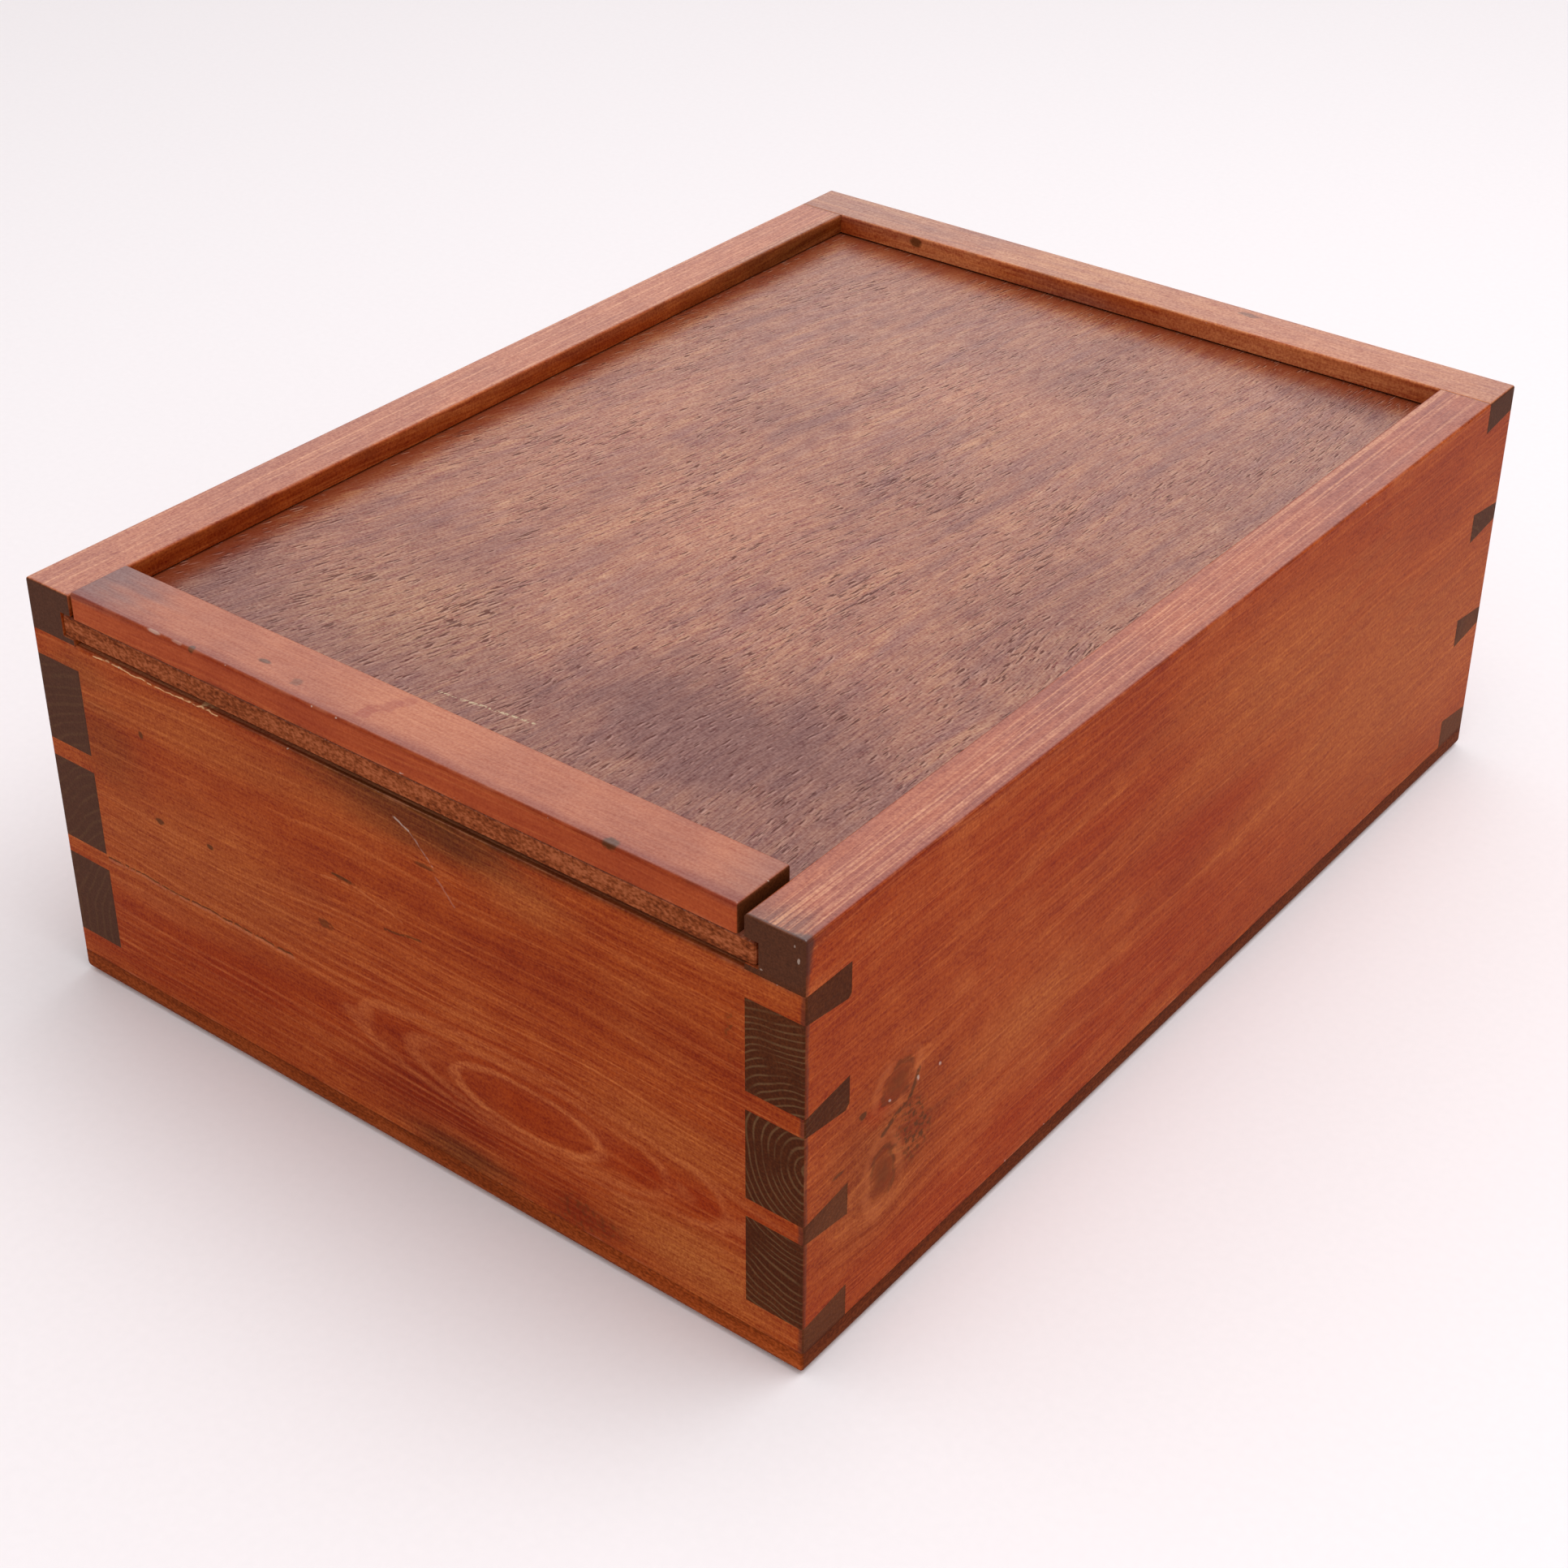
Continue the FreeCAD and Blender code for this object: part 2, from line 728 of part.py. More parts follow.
def make_bottom_nails():
    """Wire nails with no wider head, driven up through the bottom into the four boards."""
    body = new_body("bottom_nails")
    body.AllowCompound = True
    for row, x, y, axis, pitch, count, plane in NAIL_ROWS:
        sketch = new_sketch(body, f"{row}_nail_profile", "XZ_Plane", offset=f"-({y})")
        bind(sketch, AttachmentOffset__Base__x=x)
        draw_outline(
            sketch,
            ("0", "sizes.nail_sink"),
            ("sizes.nail_shank / 2", "sizes.nail_sink"),
            ("sizes.nail_shank / 2", "layout.nail_top - sizes.nail_point"),
            ("0", "layout.nail_top"),
        )
        nail = spin(body, "Revolution", f"{row}_nail", sketch)
        repeat_both_sides(body, f"{row}_nails", nail, axis, pitch, count, plane)
    return body


BUILDERS = [
    lambda: make_side_board("side_board_left", -1),
    lambda: make_side_board("side_board_right", 1),
    make_front_board,
    make_back_board,
    make_bottom_board,
    make_bottom_nails,
    make_lid_panel,
    make_lid_batten,
    make_batten_screws,
]


def check(subparts):
    """Stops if any object failed or any sub-part has no sound shape."""
    for item in doc.Objects:
        if {"Invalid", "Error"} & set(item.State):
            raise RuntimeError(f"{item.Name} failed: {item.State}")
    for part in subparts:
        if part.Shape.isNull() or not part.Shape.isValid():
            raise RuntimeError(f"{part.Label} has no valid shape")


def main():
    subparts = [build() for build in BUILDERS]
    doc.recompute()
    check(subparts)
    os.makedirs("parts", exist_ok=True)
    for part in subparts:
        part.Shape.exportStep(f"parts/{part.Label}.step")
        print(part.Label, len(part.Shape.Solids), round(part.Shape.Volume, 1), part.Shape.BoundBox)


main()
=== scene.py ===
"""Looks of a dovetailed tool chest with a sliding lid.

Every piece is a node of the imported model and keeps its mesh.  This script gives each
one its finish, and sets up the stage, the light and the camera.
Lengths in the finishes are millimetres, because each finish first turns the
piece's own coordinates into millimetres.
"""

import math

import bpy
from mathutils import Euler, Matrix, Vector


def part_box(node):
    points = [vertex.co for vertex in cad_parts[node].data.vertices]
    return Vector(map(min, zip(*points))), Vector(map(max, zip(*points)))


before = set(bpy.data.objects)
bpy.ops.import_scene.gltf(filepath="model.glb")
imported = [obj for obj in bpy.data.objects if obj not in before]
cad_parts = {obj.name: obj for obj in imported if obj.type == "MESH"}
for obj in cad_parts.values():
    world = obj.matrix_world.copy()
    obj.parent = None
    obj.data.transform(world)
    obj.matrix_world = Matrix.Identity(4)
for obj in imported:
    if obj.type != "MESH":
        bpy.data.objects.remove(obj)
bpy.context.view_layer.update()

MM_PER_METRE = 1000.0


def box_mm(piece):
    """The low and the high corner of a piece, in millimetres."""
    return [[part * MM_PER_METRE for part in corner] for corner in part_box(piece)]


# Faces of the chest that the finishes refer to, in millimetres.
SIDE_LOW, SIDE_HIGH = box_mm("side_board_right")
FRONT_LOW, FRONT_HIGH = box_mm("front_board")
BATTEN_LOW, BATTEN_HIGH = box_mm("lid_batten")
INNER_SIDE, SIDE, TOP = SIDE_LOW[0], SIDE_HIGH[0], SIDE_HIGH[2]
FRONT, INNER_FRONT = FRONT_LOW[1], FRONT_HIGH[1]
INNER_BACK = box_mm("back_board")[0][1]
BATTEN_FRONT, BATTEN_TOP = BATTEN_LOW[1], BATTEN_HIGH[2]
# About halfway through the thickness of the right and of the back board.
HALF_BOARD = 9.5
SIDE_MIDDLE = SIDE - HALF_BOARD
BACK_MIDDLE = INNER_BACK + HALF_BOARD


# ---------------------------------------------------------------- shader maths


class Value:
    """A socket of a finish, for use in Python expressions."""

    def __init__(self, finish, socket):
        self.finish = finish
        self.socket = socket

    def __add__(self, other):
        return self.finish.maths("ADD", self, other)

    __radd__ = __add__

    def __sub__(self, other):
        return self.finish.maths("SUBTRACT", self, other)

    def __rsub__(self, other):
        return self.finish.maths("SUBTRACT", other, self)

    def __mul__(self, other):
        return self.finish.maths("MULTIPLY", self, other)

    __rmul__ = __mul__

    def __truediv__(self, other):
        return self.finish.maths("DIVIDE", self, other)

    def __rtruediv__(self, other):
        return self.finish.maths("DIVIDE", other, self)

    def __pow__(self, other):
        return self.finish.maths("POWER", self, other)

    def __abs__(self):
        return self.finish.maths("ABSOLUTE", self)


class Finish:
    """The nodes of a material or of the world."""

    def __init__(self, owner):
        owner.use_nodes = True
        self.owner = owner
        self.tree = owner.node_tree
        self.tree.nodes.clear()

    def node(self, kind, settings=None, sockets=None, output=0):
        """One node: its settings first, then the values or links of its sockets."""
        made = self.tree.nodes.new(kind)
        for name, value in (settings or {}).items():
            if name == "stops":
                self.set_stops(made.color_ramp, value)
            else:
                setattr(made, name, value)
        for key, value in (sockets or {}).items():
            if isinstance(value, Value):
                self.tree.links.new(value.socket, made.inputs[key])
            else:
                made.inputs[key].default_value = value
        return Value(self, made.outputs[output]) if made.outputs else None

    @staticmethod
    def set_stops(ramp, stops):
        while len(ramp.elements) < len(stops):
            ramp.elements.new(1.0)
        for element, (place, colour) in zip(ramp.elements, stops):
            element.position = place
            element.color = (*colour, 1.0)

    def maths(self, operation, first, second=0.0):
        return self.node("ShaderNodeMath", {"operation": operation}, {0: first, 1: second})

    def least(self, first, second):
        return self.maths("MINIMUM", first, second)

    def most(self, first, second):
        return self.maths("MAXIMUM", first, second)

    def smooth(self, value, low, high):
        """0 at low, 1 at high, eased in between."""
        return self.node(
            "ShaderNodeMapRange",
            {"interpolation_type": "SMOOTHSTEP"},
            {0: value, 1: low, 2: high, 3: 0.0, 4: 1.0},
        )

    def mix(self, first, second, factor, blend="MIX"):
        """Colour first turning into colour second as factor goes from 0 to 1."""
        sockets = {0: factor, 6: paint(first), 7: paint(second)}
        return self.node("ShaderNodeMix", {"data_type": "RGBA", "blend_type": blend}, sockets, 2)

    def shade(self, colour, amount, red=1.0):
        """The colour times an amount; its red takes only that share of the change."""
        red_amount = (amount - 1) * red + 1
        tint = self.node("ShaderNodeCombineColor", {}, {0: red_amount, 1: amount, 2: amount})
        return self.mix(colour, tint, 1.0, "MULTIPLY")

    def ramp(self, value, stops, colours):
        """Colours that follow one another as value passes the stops."""
        return self.node("ShaderNodeValToRGB", {"stops": list(zip(stops, colours))}, {0: value})

    def noise(self, place, detail=2.0, roughness=0.5, scale=1.0):
        """Soft noise around 0.5."""
        vector = self.node("ShaderNodeCombineXYZ", {}, dict(enumerate(place)))
        sockets = {"Vector": vector, "Scale": scale, "Detail": detail, "Roughness": roughness}
        return self.node("ShaderNodeTexNoise", {}, sockets)

    def mottle(self, place, size, detail=2.0):
        """Noise in patches of about that size, alike in all directions."""
        return self.noise(place, detail, scale=1 / size)

    def streaks(self, place, size, seed, detail=2.0):
        """Noise drawn out along the grain: size is a streak's length and width."""
        along, across, up = place
        length, width = size
        return self.noise((along / length + seed, across / width, up / width), detail)

    def flat_noise(self, first, second, size, seed=0.0, detail=1.0, roughness=0.5):
        """Noise in a plane: size is a patch's extent along each of its two axes."""
        return self.noise((first / size[0], second / size[1], seed), detail, roughness)

    def split(self, coordinate, times=1.0):
        """X, Y and Z of one of the piece's own coordinates, each multiplied by times."""
        source = self.node("ShaderNodeTexCoord", {}, {}, coordinate)
        parts = [self.node("ShaderNodeSeparateXYZ", {}, {0: source}, i) for i in range(3)]
        return [part * times for part in parts] if times != 1.0 else parts

    def place(self):
        """X, Y and Z in millimetres."""
        return self.split("Object", MM_PER_METRE)

    def facing(self):
        """How far the surface faces along X, Y and Z, either way."""
        return [abs(part) for part in self.split("Normal")]

    def surface(self, colour, roughness, height, bump_mm, coat=0.0, **fixed):
        """The shader: colour, roughness, and a height field of bump_mm from low to high."""
        bump = self.node(
            "ShaderNodeBump",
            {},
            {"Height": height, "Strength": 1.0, "Distance": bump_mm / MM_PER_METRE},
        )
        sockets = {
            "Base Color": paint(colour),
            "Roughness": roughness,
            "Normal": bump,
            "Coat Weight": coat,
            "Coat Roughness": COAT_ROUGHNESS,
        }
        shader = self.node("ShaderNodeBsdfPrincipled", {}, {**sockets, **fixed})
        self.node("ShaderNodeOutputMaterial", {}, {0: shader})
        return self.owner


def paint(colour):
    """A colour socket as it is, or a plain colour with its alpha."""
    return colour if isinstance(colour, Value) else (*colour, 1.0)


# ------------------------------------------------------------------- colours

# Stained softwood, from the deepest stripes to the palest latewood lines.
STAIN = ((0.265, 0.032, 0.005), (0.322, 0.049, 0.007), (0.395, 0.084, 0.018))
TOP_STAIN = ((0.260, 0.045, 0.016), (0.330, 0.064, 0.018), (0.410, 0.090, 0.022))
PALE_TOP_STAIN = ((0.300, 0.066, 0.026), (0.380, 0.096, 0.036), (0.460, 0.130, 0.048))
BACK_TOP_STAIN = ((0.310, 0.090, 0.040), (0.430, 0.145, 0.055), (0.530, 0.210, 0.080))
BATTEN_STAIN = ((0.325, 0.050, 0.015), (0.385, 0.068, 0.019), (0.445, 0.086, 0.026))
STAIN_STOPS = (0.22, 0.5, 0.85)
STAIN_LINE = (0.540, 0.150, 0.045)
TOP_LINE = (0.600, 0.240, 0.115)
# A painted highlight along an arris.
PAINTED_GOLD_HIGHLIGHT = (0.800, 0.480, 0.240)
# Patches in the stain and wear, and painted shade, sheen and reflection.
STAIN_MELLOW = (0.400, 0.100, 0.022)
STAIN_RED = (0.285, 0.027, 0.002)
# Deep red stain; also used for painted shade along rounded edges.
DEEP_RED_STAIN_AND_SHADE = (0.185, 0.012, 0.001)
# Painted reflection: a purple-grey haze on varnished faces.
PAINTED_HAZE = (0.180, 0.070, 0.060)
# Dark stain in knots and marks; also used for painted shade.
DARK_STAIN_AND_SHADE = (0.080, 0.024, 0.005)
KNOT_RED = (0.185, 0.030, 0.004)
# Painted sheen: a golden highlight on varnished faces.
PAINTED_SHEEN = (0.520, 0.160, 0.060)
STAIN_WORN = (0.520, 0.200, 0.110)
# Rubbed stain on edges and seams; also used for painted shade.
RUBBED_STAIN_AND_SHADE = (0.070, 0.024, 0.016)
# Pale nicks, chips and scratches; also used for painted glints.
PALE_NICK_AND_GLINT = (0.640, 0.500, 0.420)
# End grain takes much more stain.
END_DEEP = (0.062, 0.014, 0.004)
END_MID = (0.098, 0.025, 0.007)
END_GREY = (0.086, 0.036, 0.022)
END_LINE = (0.160, 0.082, 0.036)
END_FADED = (0.150, 0.046, 0.018)
# Veneer of the lid.
VENEER = ((0.215, 0.054, 0.026), (0.300, 0.090, 0.036), (0.390, 0.140, 0.056))
VENEER_STOPS = (0.2, 0.5, 0.85)
VENEER_ROSE = (0.215, 0.060, 0.050)
VENEER_PALE = (0.540, 0.280, 0.180)
VENEER_MAUVE = (0.400, 0.200, 0.175)
VENEER_DUSK = (0.135, 0.034, 0.024)
VENEER_GOLD = (0.400, 0.165, 0.060)
VENEER_WARM = (0.480, 0.170, 0.075)
VENEER_RIM_SHADE = (0.185, 0.033, 0.010)
VENEER_PORE = (0.085, 0.020, 0.014)
VENEER_SCRATCH = (0.520, 0.400, 0.230)
# Plywood edges.
PLY = ((0.110, 0.022, 0.006), (0.240, 0.054, 0.015), (0.400, 0.110, 0.042))
PLY_DARK = ((0.120, 0.020, 0.002), (0.220, 0.038, 0.005), (0.330, 0.068, 0.014))
PLY_STOPS = (0.3, 0.5, 0.7)
# Nails and screws.
STEEL_DULL = (0.30, 0.27, 0.24)
STEEL_BRIGHT = (0.55, 0.53, 0.50)

# Satin varnish: all of its gloss is in the coat.
SATIN = {"Specular IOR Level": 0.03, "Coat IOR": 2.0}
COAT_ROUGHNESS = 0.3


# ------------------------------------------------------------------- patterns

# An edge is worn fully to the first distance from it, and not at all past the second.
ARRIS_WIDTH = (0.2, 1.0)


def spot(f, place, middle, reach, ragged=0.0, full=0.7):
    """1 inside an ellipsoid, 0 outside; ragged is added to the distance from the middle.

    The spot is full to that share of its reach and fades out as far beyond it.
    """
    squares = 0.0
    for at, centre, radius in zip(place, middle, reach):
        part = (at - centre) / radius
        squares = part * part + squares
    return 1 - f.smooth(squares ** 0.5 + ragged, full, 2 - full)


def mark(f, place, start, end, width, ragged=0.0):
    """1 along a straight line between two points of a face, 0 beside it."""
    run = [stop - begin for begin, stop in zip(start, end)]
    length = math.hypot(*run)
    along = sum((at - begin) * (part / length) for at, begin, part in zip(place, start, run))
    aside = (place[0] - start[0]) * (run[1] / length) - (place[1] - start[1]) * (run[0] / length)
    beyond = f.most(f.most(0 - along, along - length), 0.0)
    return 1 - f.smooth(abs(aside + ragged) + beyond, width * 0.3, width)


def arris(f, place, low, high):
    """1 on the edges of the piece's box, 0 away from them."""
    gaps = [f.least(at - start, end - at) for at, start, end in zip(place, low, high)]
    middle = f.most(f.least(gaps[0], gaps[1]), f.least(f.most(gaps[0], gaps[1]), gaps[2]))
    return 1 - f.smooth(middle, *ARRIS_WIDTH)


def oval(along, up, middle, half):
    """Distance from the middle of an oval: 1 on its rim."""
    part_along = (along - middle[0]) / half[0]
    part_up = (up - middle[1]) / half[1]
    return (part_along * part_along + part_up * part_up) ** 0.5


def around(up, along, ovals):
    """The height across the grain, drawn out so that the grain flows around each oval."""
    for middle, (half_along, half_up) in ovals:
        away = oval(along, up, middle, (half_along * 2.4, half_up * 1.8))
        near = away * away + 1
        up = (up - middle[1]) * (1 - 0.8 / (near * near)) + middle[1]
    return up


def loops(f, along, up, rings, ragged):
    """Light lines along the rims of ovals, broken where ragged is high."""
    lines = 0.0
    for middle, half, strength in rings:
        off = abs(oval(along, up, middle, half) + (ragged - 0.5) * 0.3 - 1) * half[1]
        line = (1 - f.smooth(off, 0.2, 1.5)) * strength
        lines = f.most(lines, line * f.smooth(ragged, 0.8, 0.45))
    return lines


# ----------------------------------------------------------- stained softwood

# Streaks in the wood, by length and width, and patches, by size.
WANDER = (190.0, 45.0)
RIPPLE = (45.0, 12.0)
STRIPE = (90.0, 5.0)
THREAD = (110.0, 1.1)
FIBRE = (9.0, 0.55)
TOP_STREAK = (400.0, 1.3)
CLOUD = 55.0
RUB = 12.0
NICK = 1.9
GRIT = 0.8

# How far the rings wander and ripple, how much more the stripes sway, and the width of
# a stretch with wider or narrower rings.
WANDER_DEPTH = 13.0
RIPPLE_DEPTH = 1.6
STRIPE_SWAY = 1.8
UNEVEN_RINGS = 7.0
# Red changes less than green and blue from streak to streak.
WOOD_RED_SHARE = 0.55
# Away from the heart's height the rings show less on long grain.
HEART_REACH = (14.0, 48.0)
# Towards the top the rings on end grain fade out.
END_RINGS_TOP = (116.0, 128.0)
# A touch larger than this is ragged like a patch, a smaller one like a nick.
SMALL_TOUCH = 4.5
SEAM_WIDTH = 0.5
WOOD_BUMP = 0.08
# Levels of noise between which each thing goes from not there to fully there.
PALE_THREADS = (0.54, 0.68)
PALE_TOP_STREAKS = (0.5, 0.64)
PEPPER = (0.48, 0.6)
UNBROKEN_LINE = (0.3, 0.5)
END_PATCHES = (0.45, 0.75)
END_ARCS = (0.3, 0.55)
WORN_EDGE = (0.5, 0.7)
NICKED_EDGE = (0.76, 0.8)
DENTED_EDGE = (0.62, 0.75)
# These go the other way, from fully there to not there.
RUBBED_EDGE = (0.34, 0.5)
RING_LINE = (0.06, 0.5)
END_RING_LINE = (0.05, 0.42)


class Board:
    """A board of stained softwood under satin varnish.  Lengths are millimetres."""

    ring_gap = 2.9  # from one growth ring to the next
    rings = ()  # loops round a bend, innermost first: middle, half sizes, strength
    stain = STAIN
    top = TOP_STAIN
    figure = 1.0  # strength of the stripes
    flow = 0.3  # strength of the growth rings on long grain
    top_lines = 0.6  # strength of the pale lines on the top
    texture = 1.0  # strength of the fine grain
    gloss = 1.0  # how thick the varnish is on the top
    end_lines = 0.2  # strength of the growth rings on end grain
    end_grey = 0.0  # how far the end grain has greyed
    clouds = ()  # large and soft: colour, strength, middle, reach
    knots = ()  # middle, reach
    touches = ()  # small marks: colour, strength, raggedness, middle, reach
    specks = ()  # clusters of dark grains: strength, middle, reach
    lines = ()  # colour, strength, start, end, width; the ends are places along and up
    seams = ()  # joints seen on the top: start, end
    inner = ()  # the face inside the box, which gets painted shade: axis (0 is X, 1 is Y), place, direction, strength of the painted shade
    end_tints = ()  # patches on the end grain, fading and painted sheen: colour, strength, middle, reach
    clipped = ()  # where a pin's corner is missing: middle, reach
    chips = ()  # bare wood: strength, middle, reach

    def __init__(self, piece, grain, heart, seed, **settings):
        self.piece = piece
        self.grain = grain  # the axis that the grain follows, X or Y
        self.heart = heart  # the middle of the trunk: its place across the board and up it
        self.seed = seed  # shifts the patterns, so that each board has its own
        vars(self).update(settings)

    def material(self):
        """The finish, built up from the long grain to the varnish."""
        self.f = Finish(bpy.data.materials.new(self.piece))
        self.read_place()
        self.draw_patterns()
        colour = self.long_grain()
        colour = self.add_knots(colour)
        colour = self.add_marks(colour)
        colour = self.paint_inner_shade(colour)
        colour = self.add_end_grain(colour)
        colour = self.wear_edges(colour)
        f, end, edge, fibre, thread = self.f, self.end, self.edge, self.fibre, self.thread
        roughness = thread * 0.12 + end * 0.14 + edge * 0.1 + 0.36
        dents = edge * f.smooth(self.nick, *DENTED_EDGE)
        height = thread * 0.45 + fibre * 0.5 + (1 - self.gap) * 0.2 - dents
        film = fibre * 0.4 + self.grit * 0.6 + 0.3
        coat = self.flat * (1 - end) * (1 - edge) * film * self.gloss
        return f.surface(colour, roughness, height, WOOD_BUMP, coat, **SATIN)

    def read_place(self):
        """Coordinates along, across and up the board, and which way its faces look."""
        f = self.f
        self.place = x, y, z = f.place()
        side_x, side_y, side_z = f.facing()
        axis, self.along, self.across = (1, y, x) if self.grain == "Y" else (0, x, y)
        self.end = f.smooth(side_y if self.grain == "Y" else side_x, 0.45, 0.85)
        for middle, reach in self.clipped:
            self.end = self.end * (1 - spot(f, self.place, middle, reach, full=0.97))
        self.flat = f.smooth(side_z, 0.4, 0.95)
        self.ovals = [((at[axis], at[2]), (reach[axis], reach[2])) for at, reach in self.knots]
        bends = [(middle, half) for middle, half, _ in self.rings[:1]]
        self.up = around(z, self.along, self.ovals + bends)

    def draw_patterns(self):
        """Rings, streaks and patches, each from a stretch of noise of its own."""
        f, along, across, up, seed = self.f, self.along, self.across, self.up, self.seed
        wander = (f.streaks((along, across, up), WANDER, seed) - 0.5) * WANDER_DEPTH
        self.gap = self.growth(wander)
        sway = up + wander * STRIPE_SWAY
        self.stripe = f.streaks((along, across, sway), STRIPE, seed + 7.0, detail=3.0)
        self.thread = f.streaks((along, across, sway), THREAD, seed + 11.0)
        self.fibre = f.streaks((along, across, up), FIBRE, seed + 17.0, detail=1.0)
        self.top_streak = f.flat_noise(along, across, TOP_STREAK, seed)
        self.cloud = f.mottle(self.place, CLOUD)
        self.rub = f.mottle(self.place, RUB, detail=3.0)
        self.nick = f.mottle(self.place, NICK, detail=1.0)
        self.grit = f.mottle(self.place, GRIT)

    def growth(self, wander):
        """Distance from the nearest latewood line, 0 on it and 1 midway to the next."""
        f = self.f
        depth = self.across - self.heart[0]
        height = self.up - self.heart[1]
        ripple = f.streaks((self.along, depth, height), RIPPLE, self.seed + 3.1) - 0.5
        radius = (depth * depth + height * height) ** 0.5 + wander + ripple * RIPPLE_DEPTH
        uneven = f.noise((radius / UNEVEN_RINGS, self.seed, 0.0), detail=1.0) * (self.ring_gap * 1.2)
        return abs(f.maths("FRACT", (radius + uneven) / self.ring_gap) - 0.5) * 2

    def long_grain(self):
        """Stripes, clouds, growth rings and fine grain."""
        f, flat, stripe, rub, thread = self.f, self.flat, self.stripe, self.rub, self.thread
        tone = (stripe - 0.5) * (1.2 * self.figure) + (self.cloud - 0.5) + (rub - 0.5) * 0.5
        colour = f.ramp(tone + 0.5, STAIN_STOPS, self.stain)
        colour = f.mix(colour, f.ramp(tone + 0.5, STAIN_STOPS, self.top), flat)
        for hue, strength, middle, reach in self.clouds:
            ragged = (stripe - 0.5) * 1.6 + (rub - 0.5) * 0.5
            patch = spot(f, self.place, middle, reach, ragged, full=0.2)
            colour = f.mix(colour, hue, patch * strength)
        near_heart = 1 - f.smooth(abs(self.up - self.heart[1]), *HEART_REACH)
        late = (1 - f.smooth(self.gap, *RING_LINE)) * (near_heart * self.flow + 0.05)
        late = late + f.smooth(thread, *PALE_THREADS) * 0.18
        if self.rings:
            late = f.most(late, loops(f, self.along, self.place[2], self.rings, rub))
        colour = f.mix(colour, STAIN_LINE, late * (1 - flat))
        pale = f.smooth(self.top_streak, *PALE_TOP_STREAKS) * flat * self.top_lines
        colour = f.mix(colour, TOP_LINE, pale)
        fine = (thread - 0.5) * 0.8 + (self.fibre - 0.5) * 1.1 + (self.grit - 0.5) * 1.8
        return f.shade(colour, fine * self.texture + 1, WOOD_RED_SHARE)

    def add_knots(self, colour):
        """Each knot has a red middle, a dark core and rim, and a pale halo."""
        f, rub, thread = self.f, self.rub, self.thread
        for middle, half in self.ovals:
            away = oval(self.along, self.place[2], middle, half)
            away = away + (rub - 0.5) * 1.1 + (thread - 0.5) * 0.5
            halo = (1 - f.smooth(abs(away - 1.5), 0.1, 0.5)) * f.smooth(rub, 0.35, 0.6)
            colour = f.mix(colour, STAIN_LINE, halo * 0.35)
            colour = f.mix(colour, KNOT_RED, (1 - f.smooth(away, 0.6, 1.15)) * 0.7)
            core = (1 - f.smooth(away, 0.0, 1.0)) * f.smooth(self.nick + thread, 0.7, 1.2)
            rim = (1 - f.smooth(abs(away - 1.0), 0.05, 0.22)) * f.smooth(rub, 0.6, 0.4) * 0.5
            colour = f.mix(colour, DARK_STAIN_AND_SHADE, f.most(rim, core * 0.4))
        return colour

    def add_marks(self, colour):
        """Touches, specks, lines and seams."""
        f, place, rub, nick = self.f, self.place, self.rub, self.nick
        for hue, strength, ragged, middle, reach in self.touches:
            rough_rim = ((rub if max(reach[1:]) > SMALL_TOUCH else nick) - 0.5) * ragged
            colour = f.mix(colour, hue, spot(f, place, middle, reach, rough_rim) * strength)
        for strength, middle, reach in self.specks:
            cluster = spot(f, place, middle, reach, (rub - 0.5) * 2)
            pepper = f.smooth(nick * 0.5 + self.grit * 0.5, *PEPPER)
            colour = f.mix(colour, DARK_STAIN_AND_SHADE, cluster * pepper * strength)
        for hue, strength, start, stop, width in self.lines:
            wobble = (rub - 0.5) * 2.5 + (nick - 0.5) * 0.6
            line = mark(f, (self.along, place[2]), start, stop, width, wobble)
            colour = f.mix(colour, hue, line * f.smooth(nick, *UNBROKEN_LINE) * strength)
        for start, stop in self.seams:
            seam = mark(f, place[:2], start, stop, SEAM_WIDTH) * self.flat
            colour = f.mix(colour, RUBBED_STAIN_AND_SHADE, seam * 0.85)
        return colour

    def paint_inner_shade(self, colour):
        """Painted shade inside the box: its inner faces are darkened."""
        if not self.inner:
            return colour
        f = self.f
        axis, inner_place, direction, dark = self.inner
        inside = f.smooth((self.place[axis] - inner_place) * direction, -0.4, 0.2)
        return f.shade(colour, 1 - inside * (1.3 - self.rub) * dark)

    def add_end_grain(self, colour):
        """Dark cut ends with paler ring lines, with fading in places and painted sheen in others."""
        f, place, rub = self.f, self.place, self.rub
        patches = f.smooth(self.grit * 0.6 + self.cloud * 0.6, *END_PATCHES)
        cut = f.mix(END_DEEP, END_MID, patches)
        cut = f.mix(cut, END_GREY, self.end_grey)
        arc = (1 - f.smooth(self.gap, *END_RING_LINE)) * f.smooth(rub, *END_ARCS)
        arc = arc * (1 - f.smooth(place[2], *END_RINGS_TOP))
        cut = f.mix(cut, END_LINE, arc * self.end_lines)
        for hue, strength, middle, reach in self.end_tints:
            pale = spot(f, place, middle, reach, (rub - 0.5) * 0.6)
            cut = f.mix(cut, hue, pale * strength)
        cut = f.shade(cut, (self.fibre - 0.5) * 0.8 + 1)
        return f.mix(colour, cut, self.end)

    def wear_edges(self, colour):
        """Rubbed and nicked edges, and chips."""
        f, rub = self.f, self.rub
        self.edge = edge = arris(f, self.place, *box_mm(self.piece))
        worn = edge * f.smooth(rub, *WORN_EDGE) * 0.25 * (1 - self.end)
        colour = f.mix(colour, STAIN_WORN, worn)
        rubbed = edge * (1 - f.smooth(rub, *RUBBED_EDGE)) * 0.35
        colour = f.mix(colour, RUBBED_STAIN_AND_SHADE, rubbed)
        nicks = edge * f.smooth(self.nick, *NICKED_EDGE) * 0.6
        colour = f.mix(colour, PALE_NICK_AND_GLINT, nicks)
        for strength, middle, reach in self.chips:
            chip = spot(f, self.place, middle, reach, (self.grit - 0.5) * 1.5)
            colour = f.mix(colour, PALE_NICK_AND_GLINT, chip * strength)
        return colour


# ------------------------------------------------------------- veneered lid

